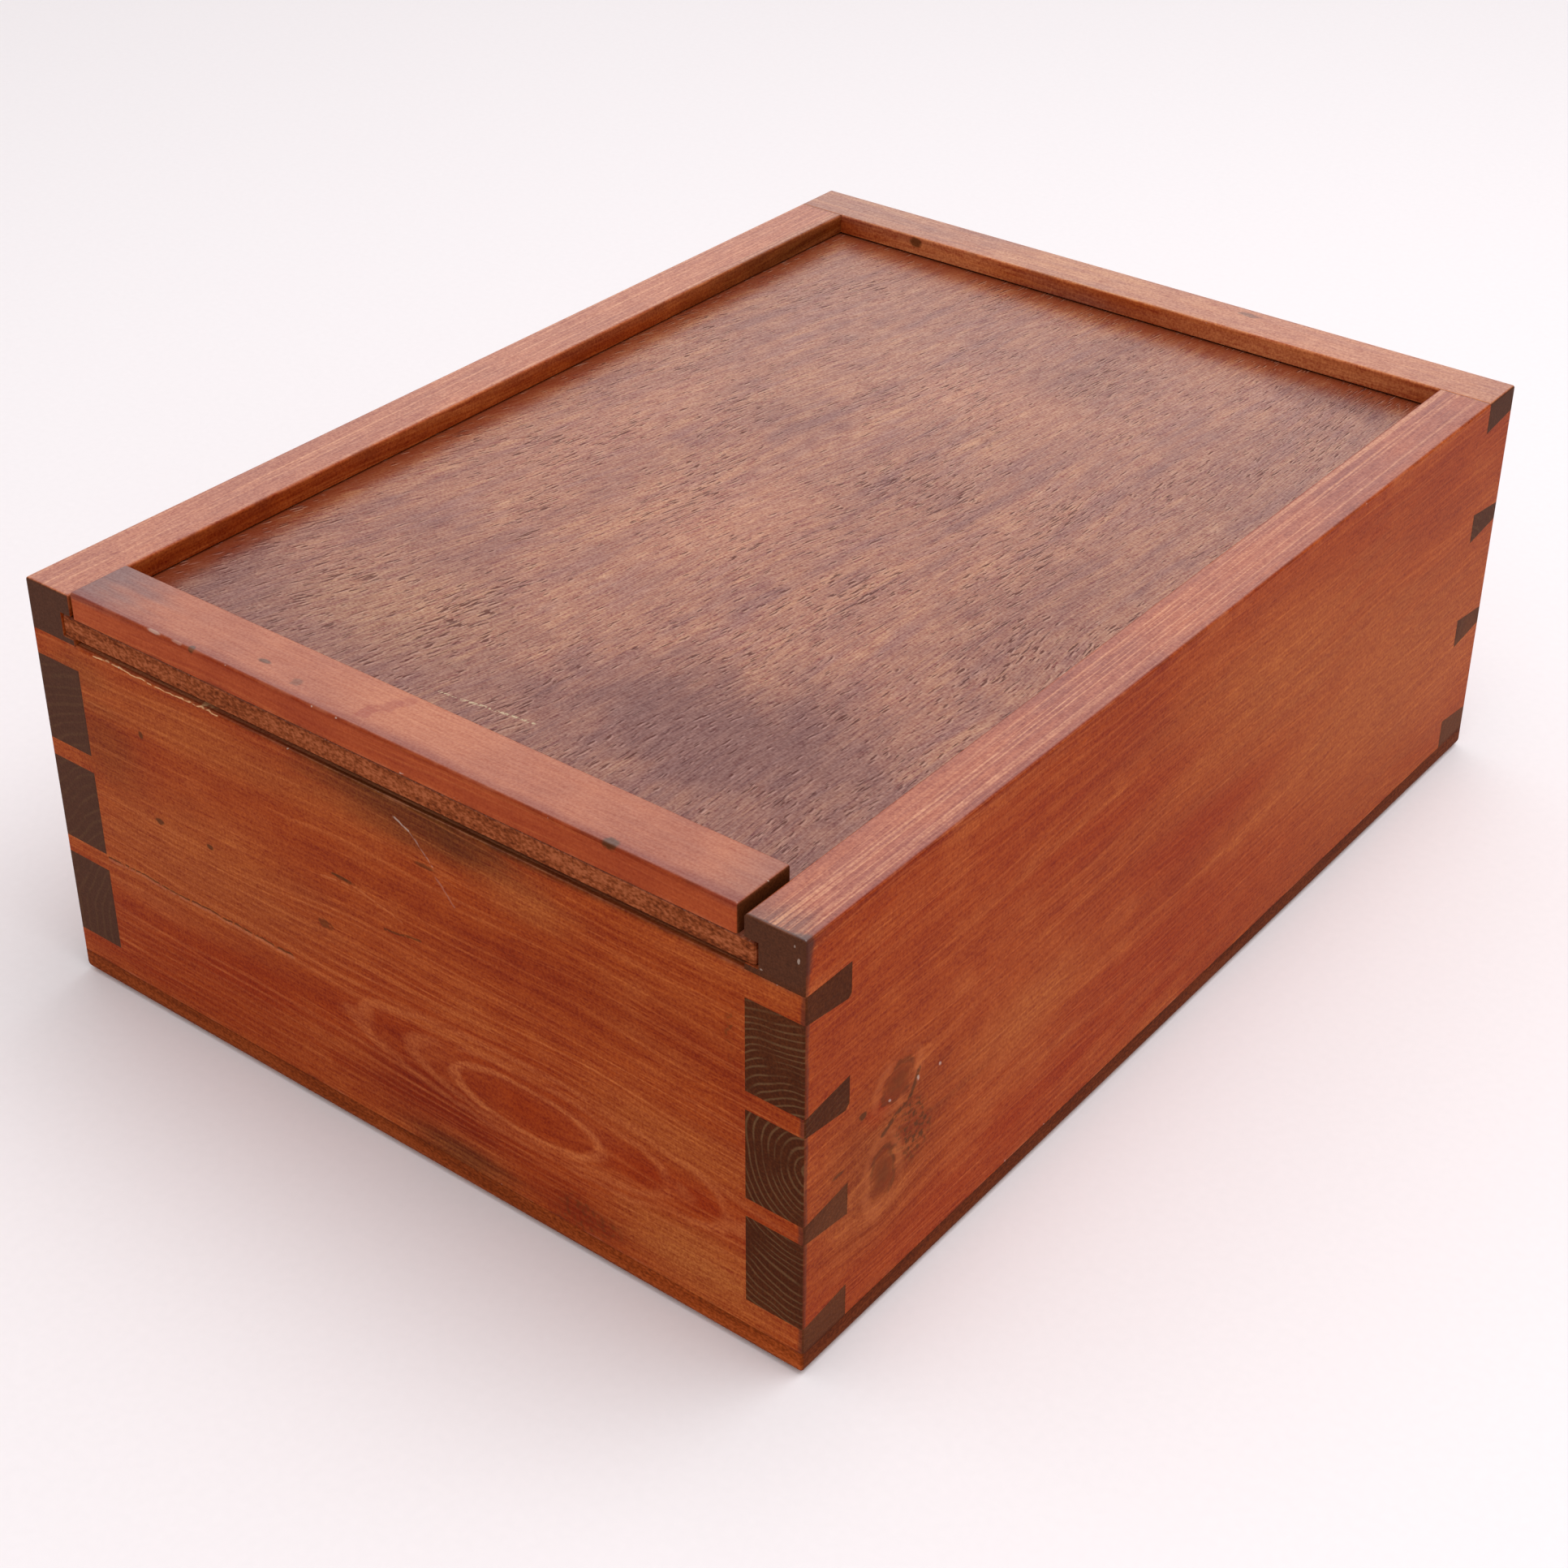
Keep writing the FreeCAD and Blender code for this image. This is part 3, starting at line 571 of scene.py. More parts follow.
# Clouds on the lid: middle, reach and strength.
LID_GOLD = ((-55.0, -138.0), (34.0, 22.0), 0.35)
LID_WARM = [
    ((-14.0, -32.0), (24.0, 34.0), 0.35),
    ((6.0, 94.0), (30.0, 18.0), 0.4),
    ((-88.0, 0.0), (14.0, 50.0), 0.3),
]
LID_DUSK = [
    ((70.0, -136.0), (54.0, 34.0), 0.9),
    ((-116.0, -156.0), (18.0, 26.0), 0.75),
    ((100.0, -30.0), (22.0, 60.0), 0.3),
    ((102.0, 90.0), (22.0, 70.0), 0.25),
    ((104.0, 172.0), (26.0, 14.0), 0.7),
    ((20.0, 120.0), (16.0, 50.0), 0.3),
    ((-44.0, 44.0), (22.0, 12.0), 0.25),
    ((20.0, 20.0), (24.0, 26.0), 0.2),
    ((-68.0, -110.0), (24.0, 26.0), 0.25),
]
# The lid is dusky in front of the first place, and fades out by the second.
FRONT_DUSK = (-175.0, -85.0)
# Between these places, towards the back, the varnish gets glossier and the pores scarcer.
FAR_PART = (-60.0, 160.0)
LID_SCRATCH = ((-13.0, -165.0), (20.0, -161.0))
# The grain leans over towards the left edge by this slope.
GRAIN_LEAN = 0.3
# Width and length of a pore, and how far its lit side is shifted from it.
PORE = (0.8, 6.0)
PORE_EDGE = 0.6
# Painted shade and reflection of the frame darken the lid's rim up to the first width, and fade out by
# the second.
RIM_SHADE_WIDTH = (4.0, 18.0)
SCRATCH_WIDTH = 0.7
VENEER_RED_SHARE = 0.5
VENEER_BUMP = 0.12
# Levels of noise between which each thing goes from not there to fully there.
ROSE_PLUMES = (0.52, 0.7)
GLINTS = (0.64, 0.74)
PORES = (0.635, 0.7)
DEEP_PORES = (0.65, 0.71)
SCRATCH_GRIT = (0.44, 0.56)


class LidVeneer:
    """Open-pored veneer over plywood: satin varnish worn thin, grain along Y."""

    def __init__(self, piece):
        self.f = f = Finish(bpy.data.materials.new(piece))
        self.low, self.high = box_mm(piece)
        self.place = f.place()
        self.flat = f.smooth(f.facing()[2], 0.5, 0.9)
        self.upper = f.smooth(self.place[2], self.low[2] + 1.0, self.high[2] - 1.0)
        self.far = f.smooth(self.place[1], *FAR_PART)
        self.draw_patterns()

    def draw_patterns(self):
        """Patches and streaks; each size is a width and a length."""
        f = self.f
        x, y, z = self.place
        lean = (self.high[0] - x) * (GRAIN_LEAN / (self.high[0] - self.low[0]))
        drift = (f.flat_noise(x, y, (70.0, 110.0)) - 0.5) * 14.0
        across = x - lean * y + drift
        self.cloud = f.flat_noise(x, y, (26.0, 40.0), seed=4.0, detail=3.0, roughness=0.6)
        self.crowd = f.flat_noise(x, y, (30.0, 55.0), seed=21.0, detail=2.0)
        self.band = f.flat_noise(across + x, y, (12.0, 150.0), seed=1.0, detail=3.0)
        self.plume = f.flat_noise(across, y, (7.0, 34.0), seed=15.0, detail=2.0)
        self.thread = f.flat_noise(across, y, (0.9, 26.0), seed=2.0, detail=2.0)
        self.hair = f.flat_noise(across, y, (0.5, 8.0), seed=8.0)
        self.pore = f.flat_noise(across, y, PORE, seed=3.0)
        self.beside = f.flat_noise(across - PORE_EDGE, y, PORE, seed=3.0)
        self.glint = f.flat_noise(across, y, (0.6, 5.5), seed=12.0)
        self.fleck = f.flat_noise(across, y, (0.8, 9.0), seed=6.0, detail=2.0)
        self.rub = f.flat_noise(x, y, (9.0, 14.0), seed=9.0, detail=3.0)
        self.grit = f.mottle(self.place, 0.9)
        self.ragged = (self.cloud - 0.5) * 0.9 + (self.rub - 0.5) * 0.9

    def dusk(self):
        """How dusky the lid is: along its front, and in clouds."""
        f, ragged = self.f, self.ragged
        x, y, z = self.place
        dusk = (1 - f.smooth(y + ragged * 60, *FRONT_DUSK)) * 0.55
        for middle, reach, strength in LID_DUSK:
            dusk = f.most(dusk, spot(f, (x, y), middle, reach, ragged, full=0.3) * strength)
        return dusk * self.upper

    def paint_rim_shade(self):
        """Painted shade and reflection of the frame along the left and back edges, where the varnish
        is also less glossy.
        """
        x, y, z = self.place
        rim = self.f.least(x - self.low[0], self.high[1] - y)
        return (1 - self.f.smooth(rim + (self.rub - 0.5) * 6, *RIM_SHADE_WIDTH)) * self.upper

    def ground(self, dusk, rim_shade):
        """The veneer's colour without its pores."""
        f, ragged, upper = self.f, self.ragged, self.upper
        flat_place = self.place[:2]
        tone = (self.band - 0.5) * 1.1 + (self.cloud - 0.5) * 0.8 + (self.rub - 0.5) * 0.6 + 0.5
        colour = f.ramp(tone, VENEER_STOPS, VENEER)
        rose = f.smooth(self.plume + ragged * 0.12, *ROSE_PLUMES) * 0.4
        colour = f.mix(colour, VENEER_ROSE, rose)
        colour = f.mix(colour, VENEER_DUSK, dusk)
        middle, reach, strength = LID_GOLD
        gold = spot(f, flat_place, middle, reach, ragged, full=0.4)
        colour = f.mix(colour, VENEER_GOLD, gold * upper * strength)
        for middle, reach, strength in LID_WARM:
            warm = spot(f, flat_place, middle, reach, ragged, full=0.3)
            colour = f.mix(colour, VENEER_WARM, warm * upper * strength)
        grain = (self.thread - 0.5) * 1.9 + (self.hair - 0.5) * 2.2 + (self.grit - 0.5) * 2.0
        colour = f.shade(colour, grain + 1, VENEER_RED_SHARE)
        # Painted shade and reflection of the frame along the rim.
        return f.mix(colour, VENEER_RIM_SHADE, rim_shade * 0.9)

    def add_pores(self, colour, dusk):
        """Pores, dark with one lit side, and short pale flecks."""
        f = self.f
        fleck_hue = f.mix(VENEER_PALE, VENEER_MAUVE, dusk)
        colour = f.mix(colour, fleck_hue, f.smooth(self.glint, *GLINTS) * 0.3)
        thick = (self.crowd - 0.5) * 0.3 - self.far * 0.01
        pores = f.smooth(self.pore + thick, *PORES)
        lit = f.smooth(self.beside + thick, *PORES) * (1 - pores)
        deep = f.smooth(self.fleck + thick, *DEEP_PORES)
        dashes = f.most(pores * 0.8, deep * 0.9)
        colour = f.mix(colour, fleck_hue, lit * 0.5)
        return f.mix(colour, VENEER_PORE, dashes), pores, dashes

    def add_scratch(self, colour):
        """One pale scratch, broken where the grain is fine."""
        f = self.f
        scratch = mark(f, self.place[:2], *LID_SCRATCH, SCRATCH_WIDTH, (self.rub - 0.5) * 1.5)
        broken = f.smooth(self.hair * 0.4 + self.grit * 0.6, *SCRATCH_GRIT)
        return f.mix(colour, VENEER_SCRATCH, scratch * broken * self.upper * 0.8)

    def material(self):
        """The finish: veneer and its varnish on the face, plies on the cut edges."""
        f = self.f
        dusk = self.dusk()
        rim_shade = self.paint_rim_shade()
        colour = self.ground(dusk, rim_shade)
        colour, pores, dashes = self.add_pores(colour, dusk)
        colour = self.add_scratch(colour)
        colour = f.mix(ply_edge(f, self.place, self.low, self.high, PLY), colour, self.flat)
        edge = arris(f, self.place, self.low, self.high)
        roughness = self.thread * 0.2 + pores * 0.15 + (1 - self.flat) * 0.3 + 0.28
        height = self.thread * 0.3 + self.hair * 0.3 - dashes
        clear = (1 - dusk * 0.25) * (1 - dashes * 0.8) * (1 - rim_shade * 0.55)
        clear = clear * (self.far * 0.18 + 1.02)
        coat = self.flat * clear * (1 - edge) * (self.hair * 0.8 + self.grit * 0.9)
        return f.surface(colour, roughness, height, VENEER_BUMP, coat, **SATIN)


# -------------------------------------------------- plywood edges and fixings

PLY_BUMP = 0.05
STEEL_BUMP = 0.01
# Between these places, towards the right, painted light makes the bottom's front edge lighter.
LIT_EDGE = (20.0, 110.0)


def ply_edge(f, place, low, high, shades):
    """Rough cut edge of three-layer plywood, palest in the middle layer."""
    x, y, z = place
    layer = abs((z - (low[2] + high[2]) / 2) / (high[2] - low[2]))
    torn = f.noise((x / 1.4, y / 1.4, z / 0.8))
    worn = f.noise((x / 30.0, y / 30.0, z / 3.0))
    tone = torn * 0.9 + worn * 0.5 - 0.2 + (1 - f.smooth(layer, 0.1, 0.24)) * 0.06
    tone = tone - f.smooth(layer, 0.4, 0.5) * 0.15
    return f.ramp(tone, PLY_STOPS, shades)


def bottom_plywood(piece):
    """Stained plywood, dark on its cut edges and lightest at the front right."""
    f = Finish(bpy.data.materials.new(piece))
    place = f.place()
    x, y, z = place
    side_x, side_y, side_z = f.facing()
    flat = f.smooth(side_z, 0.6, 0.95)
    # Painted light and shade: the front edge lighter towards the right, the edges facing sideways
    # darker.
    light = f.smooth(x, *LIT_EDGE) * side_y * 0.3 + 1 - side_x * 0.5
    edge = f.shade(ply_edge(f, place, *box_mm(piece), PLY_DARK), light)
    thread = f.noise((x / 1.6, y / 42.0, z))
    band = f.noise((x / 18.0, y / 200.0, z), detail=3.0)
    face = f.mix(PLY[1], VENEER[2], f.smooth(band, 0.3, 0.7))
    face = f.shade(face, thread * 0.5 + 0.75)
    colour = f.mix(edge, face, flat)
    return f.surface(colour, thread * 0.2 + 0.45, thread + band, PLY_BUMP, **SATIN)


def dull_steel(piece):
    """Bright wire that has dulled."""
    f = Finish(bpy.data.materials.new(piece))
    tarnish = f.mottle(f.place(), 1.5, detail=3.0)
    colour = f.mix(STEEL_DULL, STEEL_BRIGHT, f.smooth(tarnish, 0.35, 0.65))
    return f.surface(colour, tarnish * 0.3 + 0.3, tarnish, STEEL_BUMP, Metallic=1.0)


# ----------------------------------------------------------------- the pieces

# How far a large patch on one face reaches into the board, and how far a small one does.
THROUGH = 12.0
SHALLOW = 3.0
# Strength of the painted shade on the faces inside the box.
INNER_PAINTED_SHADE = 0.45
# Painted shade darkens the front right corner over its full height.
CORNER_PAINTED_SHADE = (RUBBED_STAIN_AND_SHADE, 0.6, 1.2, (SIDE, FRONT, 74.0), (1.6, 1.6, 90.0))
PIN_CORNER = (12.0, 12.0, 12.0)

FRONT_BOARD = Board(
    "front_board",
    grain="X",
    heart=(FRONT + 19.0, 44.6),
    seed=2.0,
    ring_gap=2.2,
    rings=[
        ((49.5, 42.5), (28.5, 8.6), 0.6),
        ((55.0, 43.5), (50.0, 11.8), 0.4),
        ((54.0, 44.5), (71.5, 15.0), 0.4),
    ],
    figure=0.6,
    flow=0.15,
    gloss=0.5,
    clouds=[
        (DARK_STAIN_AND_SHADE, 0.72, (12.0, FRONT, 128.5), (36.0, THROUGH, 9.5)),
        (DARK_STAIN_AND_SHADE, 0.3, (34.0, FRONT, 128.0), (12.0, THROUGH, 6.0)),
        # Painted shadow under the lid, along the top of the face.
        (DARK_STAIN_AND_SHADE, 0.5, (50.0, FRONT, 131.6), (100.0, THROUGH, 1.6)),
        (STAIN_MELLOW, 0.6, (54.0, FRONT, 118.0), (15.0, THROUGH, 7.0)),
        (STAIN_RED, 0.6, (50.0, FRONT, 42.0), (78.0, THROUGH, 20.0)),
        (DEEP_RED_STAIN_AND_SHADE, 0.75, (12.0, FRONT, 26.0), (26.0, THROUGH, 14.0)),
        (DARK_STAIN_AND_SHADE, 0.65, (22.0, FRONT, 11.0), (20.0, THROUGH, 6.0)),
        (STAIN_RED, 0.5, (-72.0, FRONT, 36.0), (46.0, THROUGH, 6.0)),
        (STAIN_RED, 0.7, (98.0, FRONT, 46.0), (20.0, THROUGH, 5.0)),
        (STAIN_RED, 0.4, (-100.0, FRONT, 20.0), (50.0, THROUGH, 9.0)),
        (DEEP_RED_STAIN_AND_SHADE, 0.3, (100.0, FRONT, 98.0), (50.0, THROUGH, 10.0)),
        (DARK_STAIN_AND_SHADE, 0.35, (-121.0, FRONT, 98.0), (12.0, THROUGH, 13.0)),
        (DARK_STAIN_AND_SHADE, 0.3, (-128.0, FRONT, 122.0), (10.0, THROUGH, 6.0)),
        (DEEP_RED_STAIN_AND_SHADE, 0.45, (71.0, FRONT, 15.0), (14.0, THROUGH, 6.0)),
        (STAIN_MELLOW, 0.5, (-70.0, FRONT, 118.0), (60.0, THROUGH, 8.0)),
        (STAIN_MELLOW, 1.0, (112.0, FRONT, 21.0), (26.0, THROUGH, 10.0)),
        (STAIN_MELLOW, 0.5, (-90.0, FRONT, 72.0), (50.0, THROUGH, 20.0)),
        (STAIN_MELLOW, 0.5, (107.0, FRONT, 60.0), (30.0, THROUGH, 8.0)),
    ],
    touches=[
        (DARK_STAIN_AND_SHADE, 0.8, 0.8, (-103.0, FRONT, 109.4), (1.0, SHALLOW, 1.3)),
        (DARK_STAIN_AND_SHADE, 0.8, 0.8, (-99.5, FRONT, 79.4), (1.8, SHALLOW, 1.0)),
        (DARK_STAIN_AND_SHADE, 0.8, 0.8, (-77.0, FRONT, 79.6), (1.5, SHALLOW, 0.9)),
        (DARK_STAIN_AND_SHADE, 0.6, 1.6, (-28.5, FRONT, 73.0), (2.8, SHALLOW, 1.6)),
        (DARK_STAIN_AND_SHADE, 0.6, 1.2, (15.5, FRONT, 113.0), (4.0, SHALLOW, 0.7)),
        (DARK_STAIN_AND_SHADE, 0.6, 1.2, (-18.5, FRONT, 93.6), (5.0, SHALLOW, 0.7)),
        CORNER_PAINTED_SHADE,
    ],
    specks=[
        (0.5, (71.0, FRONT, 14.0), (11.0, THROUGH, 6.0)),
        (0.5, (124.0, FRONT, 107.0), (1.6, SHALLOW, 8.0)),
    ],
    lines=[
        (DARK_STAIN_AND_SHADE, 0.8, (-128.0, 54.0), (-44.0, 54.0), 0.5),
        (STAIN_WORN, 0.3, (-128.0, 53.2), (-44.0, 53.2), 0.7),
        (PALE_NICK_AND_GLINT, 0.5, (4.5, 125.0), (10.5, 123.0), 0.45),
        (PALE_NICK_AND_GLINT, 0.25, (10.5, 123.0), (18.5, 114.0), 0.4),
        (PALE_NICK_AND_GLINT, 0.12, (19.5, 111.0), (26.5, 104.0), 0.5),
        # Painted highlight along the top arris.
        (PAINTED_GOLD_HIGHLIGHT, 0.8, (-121.0, 130.6), (-66.0, 130.6), 0.25),
        (DARK_STAIN_AND_SHADE, 0.7, (-3.0, 82.8), (11.5, 85.2), 0.6),
        (DARK_STAIN_AND_SHADE, 0.8, (-23.0, 93.6), (-16.0, 93.8), 0.7),
        (STAIN_LINE, 0.6, (-28.0, 91.0), (-14.0, 92.6), 0.5),
        (STAIN_LINE, 0.6, (-14.0, 92.6), (5.0, 88.5), 0.5),
    ],
    inner=(1, INNER_FRONT, 1, INNER_PAINTED_SHADE),
    end_tints=[(END_FADED, 0.5, (SIDE, -190.0, 30.0), (9.0, 16.0, 30.0))],
    clipped=[
        ((SIDE, -175.5, 112.0), PIN_CORNER),
        ((SIDE, -175.5, 75.5), PIN_CORNER),
    ],
)

RIGHT_BOARD = Board(
    "side_board_right",
    grain="Y",
    heart=(SIDE + 2.5, 74.0),
    seed=5.0,
    ring_gap=2.3,
    figure=0.8,
    flow=0.0,
    gloss=1.15,
    end_lines=0.65,
    clouds=[
        (STAIN_MELLOW, 0.65, (SIDE, 120.0, 60.0), (THROUGH, 75.0, 45.0)),
        (STAIN_MELLOW, 0.6, (SIDE, 35.0, 108.0), (THROUGH, 60.0, 22.0)),
        (STAIN_MELLOW, 0.5, (SIDE, -98.0, 60.0), (THROUGH, 32.0, 10.0)),
        (STAIN_RED, 0.6, (SIDE, 0.0, 32.0), (THROUGH, 80.0, 18.0)),
        (STAIN_RED, 0.7, (SIDE, -120.0, 14.0), (THROUGH, 70.0, 16.0)),
        (STAIN_RED, 0.6, (SIDE, 0.0, 72.0), (THROUGH, 45.0, 7.0)),
        (STAIN_RED, 0.6, (SIDE, -48.0, 106.0), (THROUGH, 45.0, 7.0)),
        (STAIN_RED, 0.4, (SIDE, -150.0, 135.0), (THROUGH, 80.0, 14.0)),
        (DARK_STAIN_AND_SHADE, 0.35, (SIDE, -168.0, 56.0), (THROUGH, 30.0, 26.0)),
        (RUBBED_STAIN_AND_SHADE, 0.6, (SIDE_MIDDLE, FRONT, TOP), (18.0, 9.0, 3.0)),
        # Painted shade along the rounded top outer edge.
        (DEEP_RED_STAIN_AND_SHADE, 0.65, (SIDE, -140.0, TOP), (2.0, 130.0, 3.0)),
        (STAIN_RED, 0.7, (SIDE, -170.0, 72.5), (THROUGH, 6.0, 4.0)),
    ],
    knots=[
        ((SIDE, -167.6, 48.0), (THROUGH, 5.4, 9.0)),
        ((SIDE, -161.0, 77.0), (THROUGH, 7.0, 5.4)),
    ],
    touches=[
        (DARK_STAIN_AND_SHADE, 0.85, 0.8, (SIDE, -177.2, 75.6), (SHALLOW, 1.8, 1.3)),
        (DARK_STAIN_AND_SHADE, 0.7, 1.2, (SIDE, -188.0, 62.4), (SHALLOW, 2.6, 0.7)),
        (RUBBED_STAIN_AND_SHADE, 0.8, 1.2, (SIDE, FRONT, TOP), (6.0, 3.0, 9.0)),
        (RUBBED_STAIN_AND_SHADE, 0.95, 0.8, (SIDE_MIDDLE, FRONT, TOP), (15.0, 1.0, 1.2)),
        CORNER_PAINTED_SHADE,
        (PALE_NICK_AND_GLINT, 0.8, 1.0, (143.0, FRONT, 145.0), (1.0, 1.0, 2.0)),
    ],
    specks=[(0.85, (SIDE, -154.0, 57.0), (SHALLOW, 8.5, 10.0))],
    lines=[
        (DARK_STAIN_AND_SHADE, 0.8, (-168.0, 62.5), (-155.0, 68.0), 1.4),
        (DARK_STAIN_AND_SHADE, 0.8, (-155.0, 68.0), (-151.0, 75.0), 1.4),
        # Painted highlights: three small white glints.
        (PALE_NICK_AND_GLINT, 0.5, (-165.1, 73.2), (-164.5, 72.6), 0.6),
        (PALE_NICK_AND_GLINT, 0.5, (-152.0, 72.6), (-151.7, 71.4), 0.6),
        (PALE_NICK_AND_GLINT, 0.5, (-141.4, 70.4), (-140.8, 69.8), 0.6),
    ],
    seams=[((INNER_SIDE, INNER_BACK), (SIDE, INNER_BACK))],
    inner=(0, INNER_SIDE, -1, INNER_PAINTED_SHADE),
    # Painted sheen: a purple-grey reflection on the end grain at the top of the front right corner.
    end_tints=[(END_GREY, 0.5, (SIDE_MIDDLE, FRONT, 142.0), (20.0, 4.0, 11.0))],
    chips=[
        (0.45, (146.2, FRONT, 141.6), (0.4, 1.0, 0.9)),
        (0.35, (134.3, FRONT, 133.4), (0.5, 1.0, 0.3)),
        (0.35, (144.9, FRONT, 145.6), (0.3, 1.0, 0.4)),
    ],
)

LEFT_BOARD = Board(
    "side_board_left",
    grain="Y",
    heart=(-100.0, 20.0),
    seed=9.0,
    ring_gap=3.4,
    top=PALE_TOP_STAIN,
    figure=0.7,
    flow=0.12,
    gloss=1.2,
    end_grey=0.8,
    clouds=[
        # Painted shade in the inner corner at the back.
        (DARK_STAIN_AND_SHADE, 0.7, (-INNER_SIDE, 150.0, 143.0), (SHALLOW, 50.0, 12.0)),
        # Painted sheen along the top.
        (PAINTED_SHEEN, 0.3, (-SIDE_MIDDLE, 30.0, TOP), (20.0, 150.0, 3.0)),
    ],
    knots=[((-SIDE, 60.0, 62.0), (THROUGH, 7.0, 6.0))],
    seams=[((-SIDE, INNER_BACK), (-INNER_SIDE, INNER_BACK))],
    inner=(0, -INNER_SIDE, 1, INNER_PAINTED_SHADE),
)

BACK_BOARD = Board(
    "back_board",
    grain="X",
    heart=(160.0, 60.0),
    seed=13.0,
    ring_gap=3.1,
    top=BACK_TOP_STAIN,
    top_lines=0.2,
    gloss=1.3,
    end_grey=0.6,
    clouds=[
        # Painted light: sheen and a purple-grey reflection along the top of the inner face and on the
        # top.
        (PAINTED_SHEEN, 0.9, (-80.0, INNER_BACK, 142.0), (36.0, SHALLOW, 8.0)),
        (PAINTED_SHEEN, 0.9, (70.0, INNER_BACK, 142.0), (55.0, SHALLOW, 8.0)),
        (PAINTED_HAZE, 0.5, (-20.0, INNER_BACK, 141.0), (25.0, SHALLOW, 6.0)),
        (PAINTED_HAZE, 0.35, (-130.0, BACK_MIDDLE, TOP), (40.0, 20.0, 3.0)),
        (PAINTED_SHEEN, 0.5, (80.0, BACK_MIDDLE, TOP), (60.0, 20.0, 3.0)),
    ],
    touches=[
        (DARK_STAIN_AND_SHADE, 0.8, 0.6, (-92.9, INNER_BACK, 146.0), (2.6, SHALLOW, 1.8)),
        (DARK_STAIN_AND_SHADE, 0.6, 1.5, (46.0, 198.0, TOP), (4.0, 1.5, 3.0)),
    ],
    end_tints=[(END_FADED, 0.6, (SIDE, BACK_MIDDLE, 30.0), (9.0, 16.0, 30.0))],
)

LID_BATTEN = Board(
    "lid_batten",
    grain="X",
    heart=(-160.0, 90.0),
    seed=21.0,
    stain=BATTEN_STAIN,
    top=PALE_TOP_STAIN,
    figure=0.4,
    top_lines=0.05,
    texture=0.5,
    clouds=[
        # Painted reflection at both ends of the top, and a painted highlight in its middle.
        (PAINTED_HAZE, 1.0, (-134.0, -190.0, BATTEN_TOP), (24.0, 40.0, 1.6)),
        (PAINTED_HAZE, 0.4, (130.0, -190.0, BATTEN_TOP), (14.0, 30.0, 1.6)),
        (PAINTED_SHEEN, 0.5, (-2.0, -186.0, BATTEN_TOP), (26.0, 12.0, 1.6)),
        # A dark red line along the front arris: wear, and painted shade of its rounding.
        (DEEP_RED_STAIN_AND_SHADE, 0.6, (0.0, BATTEN_FRONT, BATTEN_TOP), (900.0, 3.4, 1.3)),
    ],
    touches=[
        (STAIN_RED, 0.6, 1.2, (-10.6, -195.4, BATTEN_TOP), (2.2, 3.6, 3.0)),
        (STAIN_RED, 0.5, 1.2, (-7.4, -188.8, BATTEN_TOP), (2.4, 4.2, 3.0)),
        (STAIN_RED, 0.4, 1.2, (-5.0, -184.6, BATTEN_TOP), (2.4, 2.6, 3.0)),
        (DARK_STAIN_AND_SHADE, 0.8, 0.8, (-53.0, -194.0, BATTEN_TOP), (2.4, 0.9, 1.5)),
        (DARK_STAIN_AND_SHADE, 0.5, 1.2, (-37.5, -196.5, BATTEN_TOP), (1.8, 1.6, 1.5)),
        (DARK_STAIN_AND_SHADE, 0.9, 0.6, (-75.0, BATTEN_FRONT + 0.8, BATTEN_TOP - 0.4), (1.2, 1.2, 1.2)),
        (DARK_STAIN_AND_SHADE, 0.9, 0.6, (84.0, BATTEN_FRONT + 1.2, BATTEN_TOP - 0.4), (2.6, 1.8, 1.6)),
        # Pale nicks on the front arris, with painted highlights.
        (PALE_NICK_AND_GLINT, 0.4, 0.8, (-91.0, BATTEN_FRONT + 0.5, BATTEN_TOP - 0.3), (2.8, 0.5, 0.5)),
        (PALE_NICK_AND_GLINT, 0.2, 0.8, (-81.0, BATTEN_FRONT + 0.5, BATTEN_TOP - 0.3), (2.4, 0.5, 0.5)),
    ],
)


def dress(piece, material):
    """Gives a piece of the model its finish."""
    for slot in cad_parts[piece].material_slots:
        slot.material = material


for board in (FRONT_BOARD, RIGHT_BOARD, LEFT_BOARD, BACK_BOARD, LID_BATTEN):
    dress(board.piece, board.material())
dress("lid_panel", LidVeneer("lid_panel").material())
dress("bottom_board", bottom_plywood("bottom_board"))
dress("bottom_nails", dull_steel("bottom_nails"))
dress("batten_screws", dull_steel("batten_screws"))


# --------------------------------------------------------------------- stage

# Lengths here are metres, apart from those in millimetres by their names.
FLOOR_REACH = 20.0
FLOOR_COLOUR = (0.91, 0.87, 0.90)
FLOOR_ROUGHNESS = 0.7
FLOOR_GRAIN_MM = 3.0
FLOOR_BUMP_MM = 0.02
WALL_COLOUR = (0.93, 0.875, 0.89)
WALL_LIGHT = 1.0
ROOM_COLOUR = (1.0, 0.98, 0.96)
ROOM_LIGHT = 0.72
LAMP_PLACE = (0.5, 0.2, 1.9)
LAMP_TARGET = (0.0, 0.0, 0.05)
LAMP_WIDTH = 1.6
LAMP_WATTS = 21.0
CAMERA_PLACE = (0.4677, -0.6271, 0.5488)
CAMERA_DEGREES = (58.447, -0.344, 37.543)
CAMERA_LENS_MM = 61.98
CAMERA_SENSOR_MM = 36.0
CAMERA_SHIFT = (-0.0067, -0.0639)


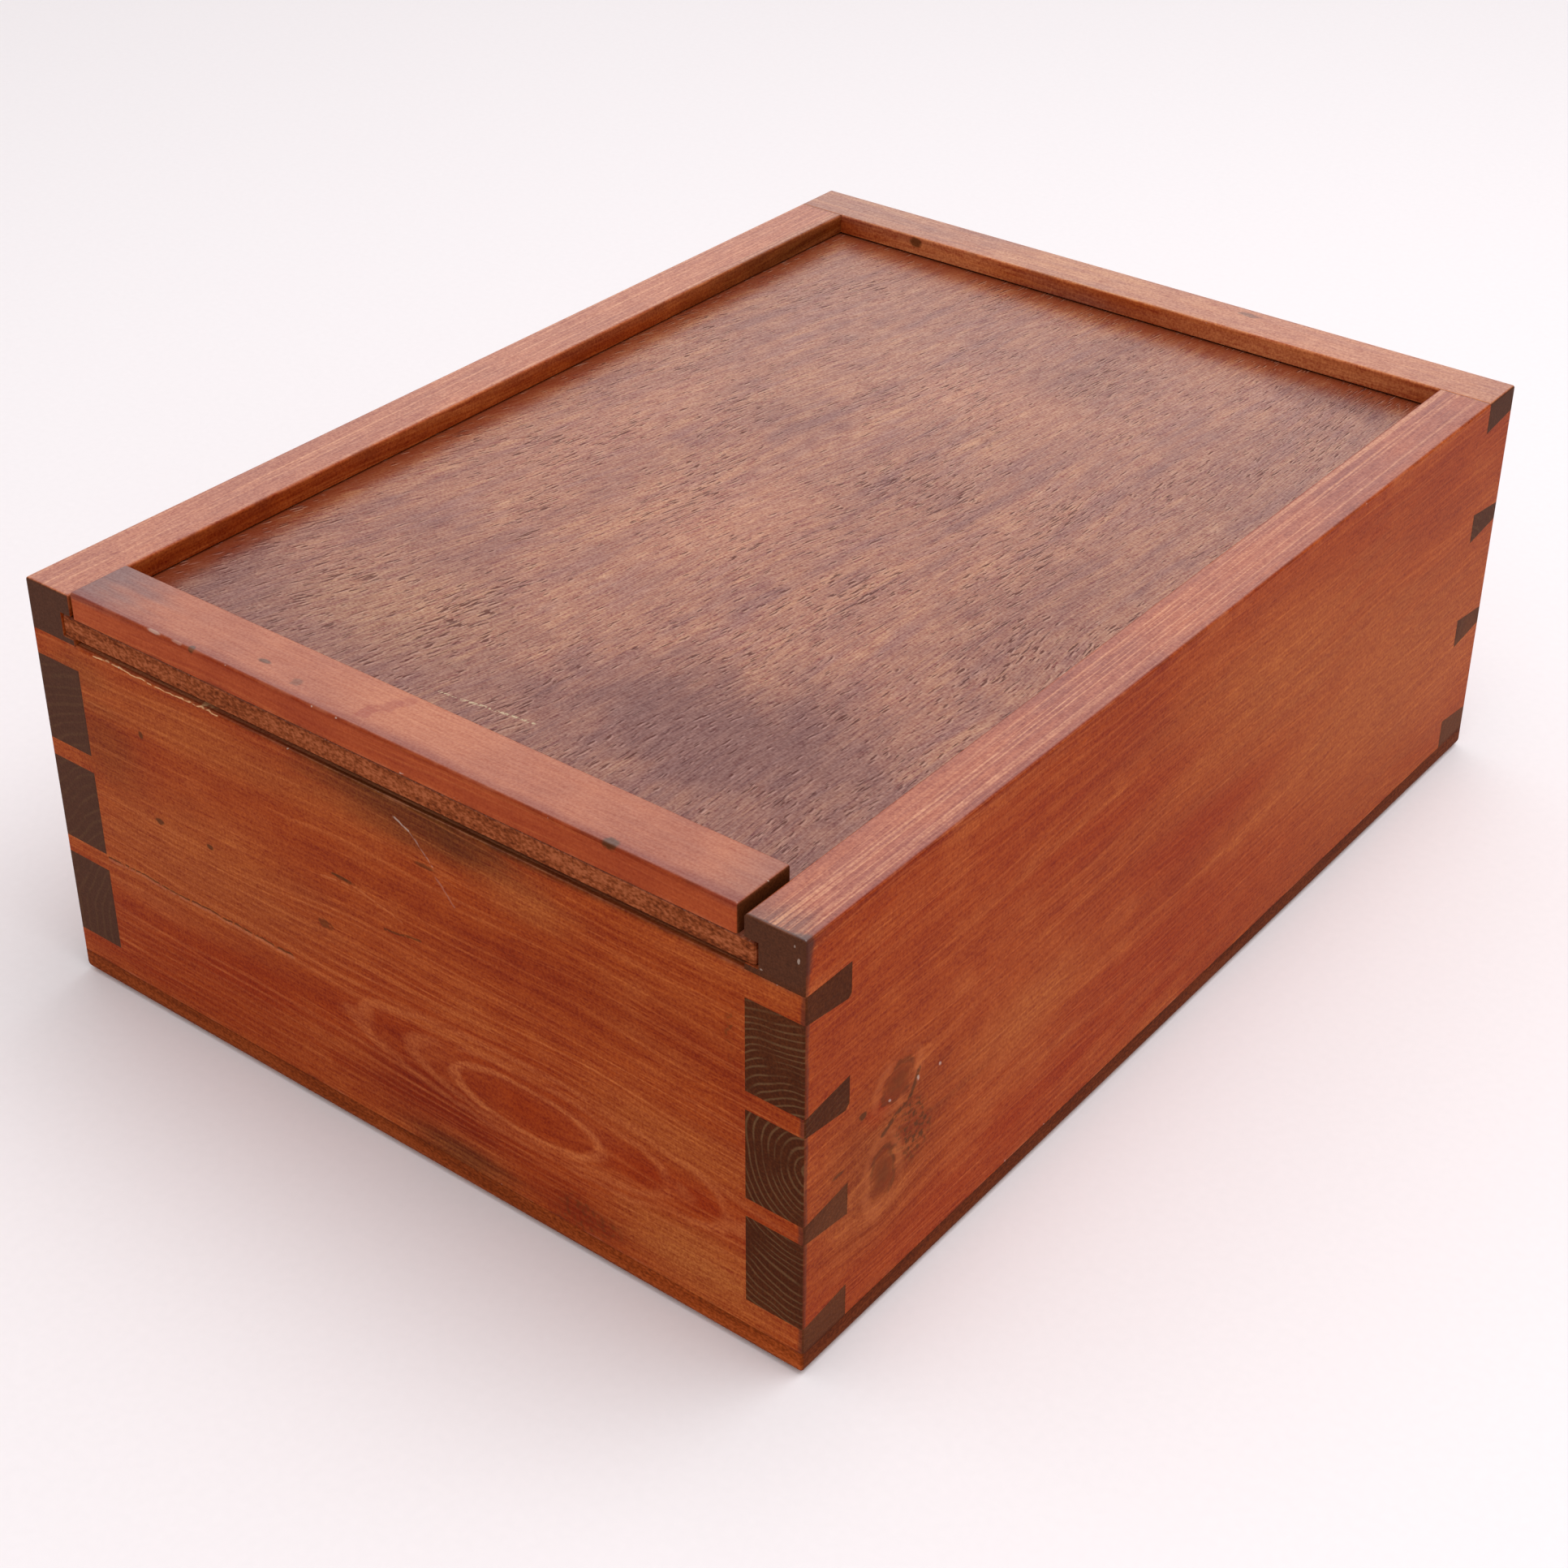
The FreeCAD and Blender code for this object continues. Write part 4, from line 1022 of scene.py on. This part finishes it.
def make_floor():
    """A plain pale floor that reaches past the horizon."""
    corners = [(-1, -1), (1, -1), (1, 1), (-1, 1)]
    mesh = bpy.data.meshes.new("floor")
    mesh.from_pydata([(x * FLOOR_REACH, y * FLOOR_REACH, 0.0) for x, y in corners], [], [(0, 1, 2, 3)])
    floor = bpy.data.objects.new("floor", mesh)
    bpy.context.scene.collection.objects.link(floor)
    f = Finish(bpy.data.materials.new("floor"))
    speckle = f.mottle(f.place(), FLOOR_GRAIN_MM, detail=3.0)
    colour = f.shade(FLOOR_COLOUR, speckle * 0.04 + 0.98)
    matt = {"Specular IOR Level": 0.2}
    mesh.materials.append(f.surface(colour, FLOOR_ROUGHNESS, speckle, FLOOR_BUMP_MM, **matt))


def make_world():
    """Even white light; the camera and reflections see a pale wall."""
    world = bpy.data.worlds.new("room")
    bpy.context.scene.world = world
    f = Finish(world)
    rays = ("Is Camera Ray", "Is Glossy Ray", "Is Transmission Ray")
    camera, glossy, clear = [f.node("ShaderNodeLightPath", {}, {}, ray) for ray in rays]
    light = f.node("ShaderNodeBackground", {}, {"Color": paint(ROOM_COLOUR), "Strength": ROOM_LIGHT})
    wall = f.node("ShaderNodeBackground", {}, {"Color": paint(WALL_COLOUR), "Strength": WALL_LIGHT})
    seen = f.most(f.most(camera, glossy), clear)
    room = f.node("ShaderNodeMixShader", {}, {0: seen, 1: light, 2: wall})
    f.node("ShaderNodeOutputWorld", {}, {0: room})


def make_lamp():
    """A soft square lamp overhead."""
    light = bpy.data.lights.new("overhead", "AREA")
    light.shape = "SQUARE"
    light.size = LAMP_WIDTH
    light.energy = LAMP_WATTS
    lamp = bpy.data.objects.new("overhead", light)
    lamp.location = LAMP_PLACE
    aim = Vector(LAMP_TARGET) - Vector(LAMP_PLACE)
    lamp.rotation_euler = aim.to_track_quat("-Z", "Y").to_euler()
    bpy.context.scene.collection.objects.link(lamp)


def make_camera():
    """The camera looks down at the front right corner."""
    lens = bpy.data.cameras.new("camera")
    lens.sensor_width = CAMERA_SENSOR_MM
    lens.lens = CAMERA_LENS_MM
    lens.shift_x, lens.shift_y = CAMERA_SHIFT
    camera = bpy.data.objects.new("camera", lens)
    camera.location = CAMERA_PLACE
    camera.rotation_euler = Euler(math.radians(angle) for angle in CAMERA_DEGREES)
    bpy.context.scene.collection.objects.link(camera)
    bpy.context.scene.camera = camera


make_floor()
make_world()
make_lamp()
make_camera()
bpy.context.scene.view_settings.view_transform = "Standard"
